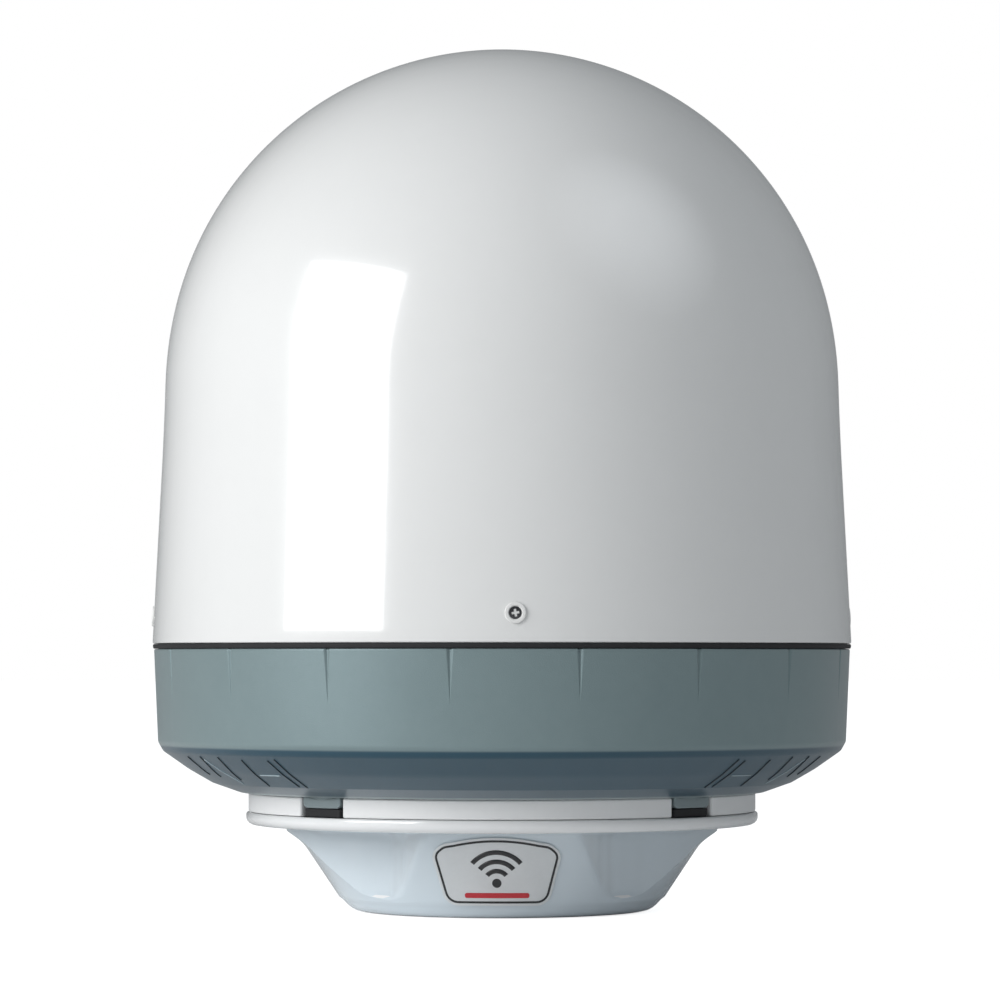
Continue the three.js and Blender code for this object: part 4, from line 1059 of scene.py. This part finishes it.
# wires twisted together: each runs a small circle about the harness's own smooth path
def harnessWires(phases, radius=0.85, around=1.45, turns=9):
    knots = np.array([(15.2, 0, 158), (26, 0, 160), (40, 0, 163), (60, 1, 159), (80, 2, 150), (100, 0, 146.5),
                      (118, -2, 146),
                      (126, -4, 141), (129, -5, 133), (129, -5, 127.6)], float)
    at = np.linspace(0, len(knots) - 1, 130)
    path = np.stack([np.interp(at, np.arange(len(knots)), knots[:, k]) for k in range(3)], -1)
    smooth = np.hanning(17)[1:-1] / np.hanning(17)[1:-1].sum()
    padded = np.vstack([np.repeat(path[:1], 7, 0), path, np.repeat(path[-1:], 7, 0)])
    path = np.stack([np.convolve(padded[:, k], smooth, 'valid') for k in range(3)], -1)
    along = np.gradient(path, axis=0)
    along /= np.linalg.norm(along, axis=1, keepdims=True)
    side = np.cross(along, (0, 1, 0.2))
    side /= np.linalg.norm(side, axis=1, keepdims=True)
    top = np.cross(side, along)
    twist = np.linspace(0, 2 * np.pi * turns, len(path))[:, None]
    return [rod(path + around * (np.cos(twist + p) * side + np.sin(twist + p) * top), radius,
                8) for p in phases]


makePiece("harnessBlack", harnessWires((0, 2.1)), "azimuth_stage", "wire_black", wireBlack, "board_harness")
makePiece("harnessRed", harnessWires((4.2,)), "azimuth_stage", "wire_black", wireRed)

# cap screws through the arms' toes and round the turntable's hub
stageScrews = dict(toePlace=148, toeRows=(-33, -11, 11, 33), hubCircle=42, hubCount=8)
armScrews = [capHead(3.2, 116.2, 3.4, shift(side * stageScrews["toePlace"], y, 0))
             for side in (-1, 1) for y in stageScrews["toeRows"]]
onCircle = shift(stageScrews["hubCircle"], 0, 0)
armScrews += [capHead(2.6, 109.9, 2.6, turnZ(360 / stageScrews["hubCount"] * (i + 0.5)) @ onCircle)
              for i in range(stageScrews["hubCount"])]
makePiece("stageScrews", armScrews, "azimuth_stage", "bolt_steel", stainless)
rim = turned([(170.5, 109.8), (171.5, 112.2, 0.8), (175.8, 112.2, 0.8), (175.8, 104.4, 0.4), (170.5, 104.4)],
             180, True)
makePiece("turntableRim", rim, "azimuth_stage", "cast_grey", castGrey)

dishValues = dict(focal=600.0, vertex=-18.0, inner=14.0, rim=215.0, wall=2.5, beadRadius=1.75, beadOut=1.1,
                  beadDown=1.0, columns=180)


# the reflector: height = vertex + radius squared / focal, its rim rolled outwards in a small bead
def dishSurface():
    rho = np.concatenate([[dishValues["inner"]], np.linspace(dishValues["inner"] + 0.4, dishValues["rim"],
                                                             44)])
    face = dishValues["vertex"] + rho ** 2 / dishValues["focal"]
    slope = 2 * rho / dishValues["focal"]
    span = np.sqrt(1 + slope ** 2)
    back = np.column_stack([rho + dishValues["wall"] * slope / span, face - dishValues["wall"] / span])
    front = np.column_stack([rho, face])
    centre = np.array([dishValues["rim"] + dishValues["beadOut"], face[-1] - dishValues["beadDown"]])
    a = np.radians(np.linspace(130, -75, 12))
    bead = centre + dishValues["beadRadius"] * np.column_stack([np.cos(a), np.sin(a)])
    profile = np.vstack([front, bead, back[::-1][1:]])
    angle = np.linspace(0, 2 * np.pi, dishValues["columns"], endpoint=False)
    points = np.stack([profile[:, :1] * np.cos(angle), profile[:, :1] * np.sin(angle),
                       profile[:, 1:] + 0 * angle], -1)
    return surface(points, closeRows=True, matrix=dishFrame)


makePiece("reflectorDish", dishSurface(), "elevation_stage", "dish_white", dishWhite, "reflector_dish")
hub = [turned([(18, -35.7, 0.5), (32, -35.7, 0.8), (32, -30.5, 1), (27, -28.5, 2), (25, -20.3, 0.6),
               (18, -20.3, 0.5)], 72, True,
              dishFrame)]
hub += [capHead(1.9, -32, 2.6, dishFrame @ turnZ(60 * i + 30) @ shift(28.6, 0, 0)) for i in range(6)]
makePiece("dishHub", hub, "elevation_stage", "cast_grey", castGrey, "dish_hub")
feedTube = turned([(9, -32.6, 0.3), (12, -32.6, 0.5), (12, -6, 0.3), (12.6, -5.4, 0.3), (12.6, -2.4, 0.3),
                   (12, -1.8, 0.3), (12, 88, 0.4),
                   (9, 88, 0.3)], 56, True, dishFrame)
makePiece("feedTube", feedTube, "elevation_stage", "frame_aluminium", frameAluminium, "feed_tube")
cone = [(0, 88.3), (13, 88.3, 0.8)]
for step in range(5):  # shallow steps up the feed cone
    cone += [(16.0 + 3.8 * step, 89.6 + 1.5 * step, 0.35), (16.6 + 3.8 * step, 90.9 + 1.5 * step, 0.35)]
cone += [(33, 97, 0.6), (0, 97)]
makePiece("feedCone", turned(cone, 80, False, dishFrame), "elevation_stage", "feed_plastic", feedPlastic,
          "feed_cone")
subreflector = turned([(0, 97.3), (35.2, 97.3, 0.6), (43.6, 101.6, 1.5), (44, 104, 0.9), (40, 103.3, 1.2),
                       (0, 102.4)], 96, False,
                      dishFrame, 4.0)
makePiece("subreflector", subreflector, "elevation_stage", "frame_aluminium", frameAluminium, "subreflector")
skewMotor = turned([(0, -35.7), (14, -35.7, 0.5), (14, -31.6, 0.2), (13.6, -31.3, 0.2), (13.6, -30.3, 0.2),
                    (14, -30, 0.2),
                    (14, -22, 1.2), (11, -21.4, 0.4), (0, -21)], 56, False, dishFrame @ shift(48, 0, 0))
makePiece("skewMotor", skewMotor, "elevation_stage", "black_plastic", blackPlastic, "skew_motor")
sensor = [plate(roundBox(22, 26, 2.5, (-53, 0)), -58, -46.4, 1.0, matrix=dishFrame),
          plate(roundBox(20, 24, 2.0, (-53, 0)), -46.6, -44.3, 0.5, matrix=dishFrame)]
sensor += [capHead(1.3, 57.8, 1.1, dishFrame @ Matrix.Rotation(math.pi, 4, 'X') @ shift(-53 + x, y,
    0)) for x in (-8, 8) for y in (-10, 10)]
makePiece("rateSensor", sensor, "elevation_stage", "black_plastic", blackPlastic, "rate_sensor")
weight = [plate(roundBox(58, 48, 3.0, (-101, 0)), a, a + 5.7, 0.6, matrix=dishFrame) for a in (-62, -56.1,
                                                                                               -50.2)]
weight += [capHead(3.4, 61.8, 2.6, dishFrame @ Matrix.Rotation(math.pi, 4, 'X') @ shift(-101 + x, 0,
    0)) for x in (-19, 19)]
makePiece("balanceWeight", weight, "elevation_stage", "weight_steel", weightSteel, "balance_weight")
cradleScrews = [capHead(2.8, -36.1, 2.8, dishFrame @ shift(x, y, 0)) for x in (-136, -118, 118,
                                                                               136) for y in (-17, 17)]
makePiece("cradleScrews", cradleScrews, "elevation_stage", "bolt_steel", stainless)

receiver = [turned([(0, -90), (24, -90, 1.2), (24, -51, 1.2), (15.8, -51, 0.4), (15.8, -33, 0.6), (0, -33)],
                   72, False, dishFrame),
            plate(roundBox(44, 60, 3.0), -86, -56, 1.4, matrix=dishFrame)]
receiver += [plate(roundBox(40, 1.6, 0.5, (0, y)), -88.2, -85.9, 0.5, matrix=dishFrame) for y in (4, 8, 12,
                                                                                                  16, 20, 24)]
makePiece("receiverHousing", receiver, "skew_stage", "cast_grey", castGrey, "receiver")
threads = [(4.5 - 0.3 * (i % 2), -101.4 + 0.5 * i) for i in range(26)]
sockets = [turned([(0, -98), (3.2, -98), (3.4, -102, 0.2)] + threads + [(4.5, -86), (0, -86)], 28, False,
                  dishFrame @ shift(x, -14, 0))
           for x in (-11, 11)]
makePiece("receiverSockets", sockets, "skew_stage", "connector_steel", tinPlate)
print("inner works made")

lightValues = dict(world=0.27, worldColour=(0.93, 0.97, 1.0), backdrop=1.0, key=47.5, keyWidth=1.62,
                   keyHeight=1.5,
                   keyAzimuth=-54, keyElevation=17, sky=11.0, skyAzimuth=59, skyElevation=45, skyWidth=2.5)


# the world: camera rays see the pale backdrop, everything else the dimmer studio room
def makeWorld():
    world = bpy.data.worlds.new("studioRoom")
    scene.world = world
    world.use_nodes = True
    tree = world.node_tree
    room = tree.nodes['Background']
    room.inputs['Color'].default_value = (*lightValues["worldColour"], 1)
    room.inputs['Strength'].default_value = lightValues["world"]
    seen = addNode(tree, 'ShaderNodeBackground', Strength=lightValues["backdrop"])
    seen.inputs['Color'].default_value = (1, 1, 1, 1)
    rays = addNode(tree, 'ShaderNodeLightPath')
    mix = addNode(tree, 'ShaderNodeMixShader')
    tree.links.new(rays.outputs['Is Camera Ray'], mix.inputs['Fac'])
    tree.links.new(room.outputs[0], mix.inputs[1])
    tree.links.new(seen.outputs[0], mix.inputs[2])
    tree.links.new(mix.outputs[0], tree.nodes['World Output'].inputs['Surface'])


# a soft rectangle of light at a bearing from the front and a height angle, facing the middle of the dome
def softbox(name, azimuth, elevation, distance, width, height, power, colour=(1, 1, 1)):
    data = bpy.data.lights.new(name, 'AREA')
    data.shape = 'RECTANGLE'
    data.size, data.size_y = width, height
    data.energy = power
    data.color = colour
    lamp = bpy.data.objects.new(name, data)
    scene.collection.objects.link(lamp)
    a, e = math.radians(azimuth), math.radians(elevation)
    place = Vector((math.sin(a) * math.cos(e), -math.cos(a) * math.cos(e),
                    math.sin(e))) * distance + Vector((0, 0, 0.34))
    lamp.location = place
    lamp.rotation_euler = (Vector((0, 0, 0.34)) - place).to_track_quat('-Z', 'Y').to_euler()
    return lamp


makeWorld()
softbox("keySoftbox", lightValues["keyAzimuth"], lightValues["keyElevation"], 2.5, lightValues["keyWidth"],
        lightValues["keyHeight"], lightValues["key"])
# the broad light upper right is five discs, one inside another, so that its edge fades
for share in (1.0, 0.84, 0.68, 0.52, 0.36):
    sky = softbox("rightSky", lightValues["skyAzimuth"], lightValues["skyElevation"], 2.6 + 0.02 * share,
                  lightValues["skyWidth"] * share, lightValues["skyWidth"] * share,
                  lightValues["sky"] * share ** 2 / 2.4,
                  (0.92, 0.96, 1.0))
    sky.data.shape = 'DISK'

floorMesh = bpy.data.meshes.new("floor")
floorMesh.from_pydata([(-30, -30, -0.0004), (30, -30, -0.0004), (30, 30, -0.0004), (-30, 30, -0.0004)], [],
                      [(0, 1, 2, 3)])
floor = bpy.data.objects.new("floor", floorMesh)
scene.collection.objects.link(floor)
floorFinish = makeFinish("floorPaper", light=(0.93, 0.93, 0.93), dark=(0.91, 0.91, 0.91), rough=0.7,
                         mottle=3.0, depth=0.02)
floorMesh.materials.append(floorFinish)
floorShader = floorFinish.node_tree.nodes['Principled BSDF']
floorRays = addNode(floorFinish.node_tree, 'ShaderNodeLightPath')
floorShader.inputs['Emission Color'].default_value = (1, 1, 1, 1)
floorFinish.node_tree.links.new(
    calc(floorFinish.node_tree, 'MULTIPLY', floorRays.outputs['Is Camera Ray'], 0.85),
                                floorShader.inputs['Emission Strength'])

cameraValues = dict(distance=2.955, height=0.178, aimHeight=0.291, across=-0.0014, lens=149.4)
cameraData = bpy.data.cameras.new("camera")
cameraData.lens = cameraValues["lens"]
cameraData.sensor_width = 36
camera = bpy.data.objects.new("camera", cameraData)
scene.collection.objects.link(camera)
camera.location = (cameraValues["across"], -cameraValues["distance"], cameraValues["height"])
aim = Vector((cameraValues["across"], 0, cameraValues["aimHeight"])) - camera.location
camera.rotation_euler = aim.to_track_quat('-Z', 'Y').to_euler()
scene.camera = camera
scene.view_settings.view_transform = 'Standard'
print("lights, floor and camera placed")
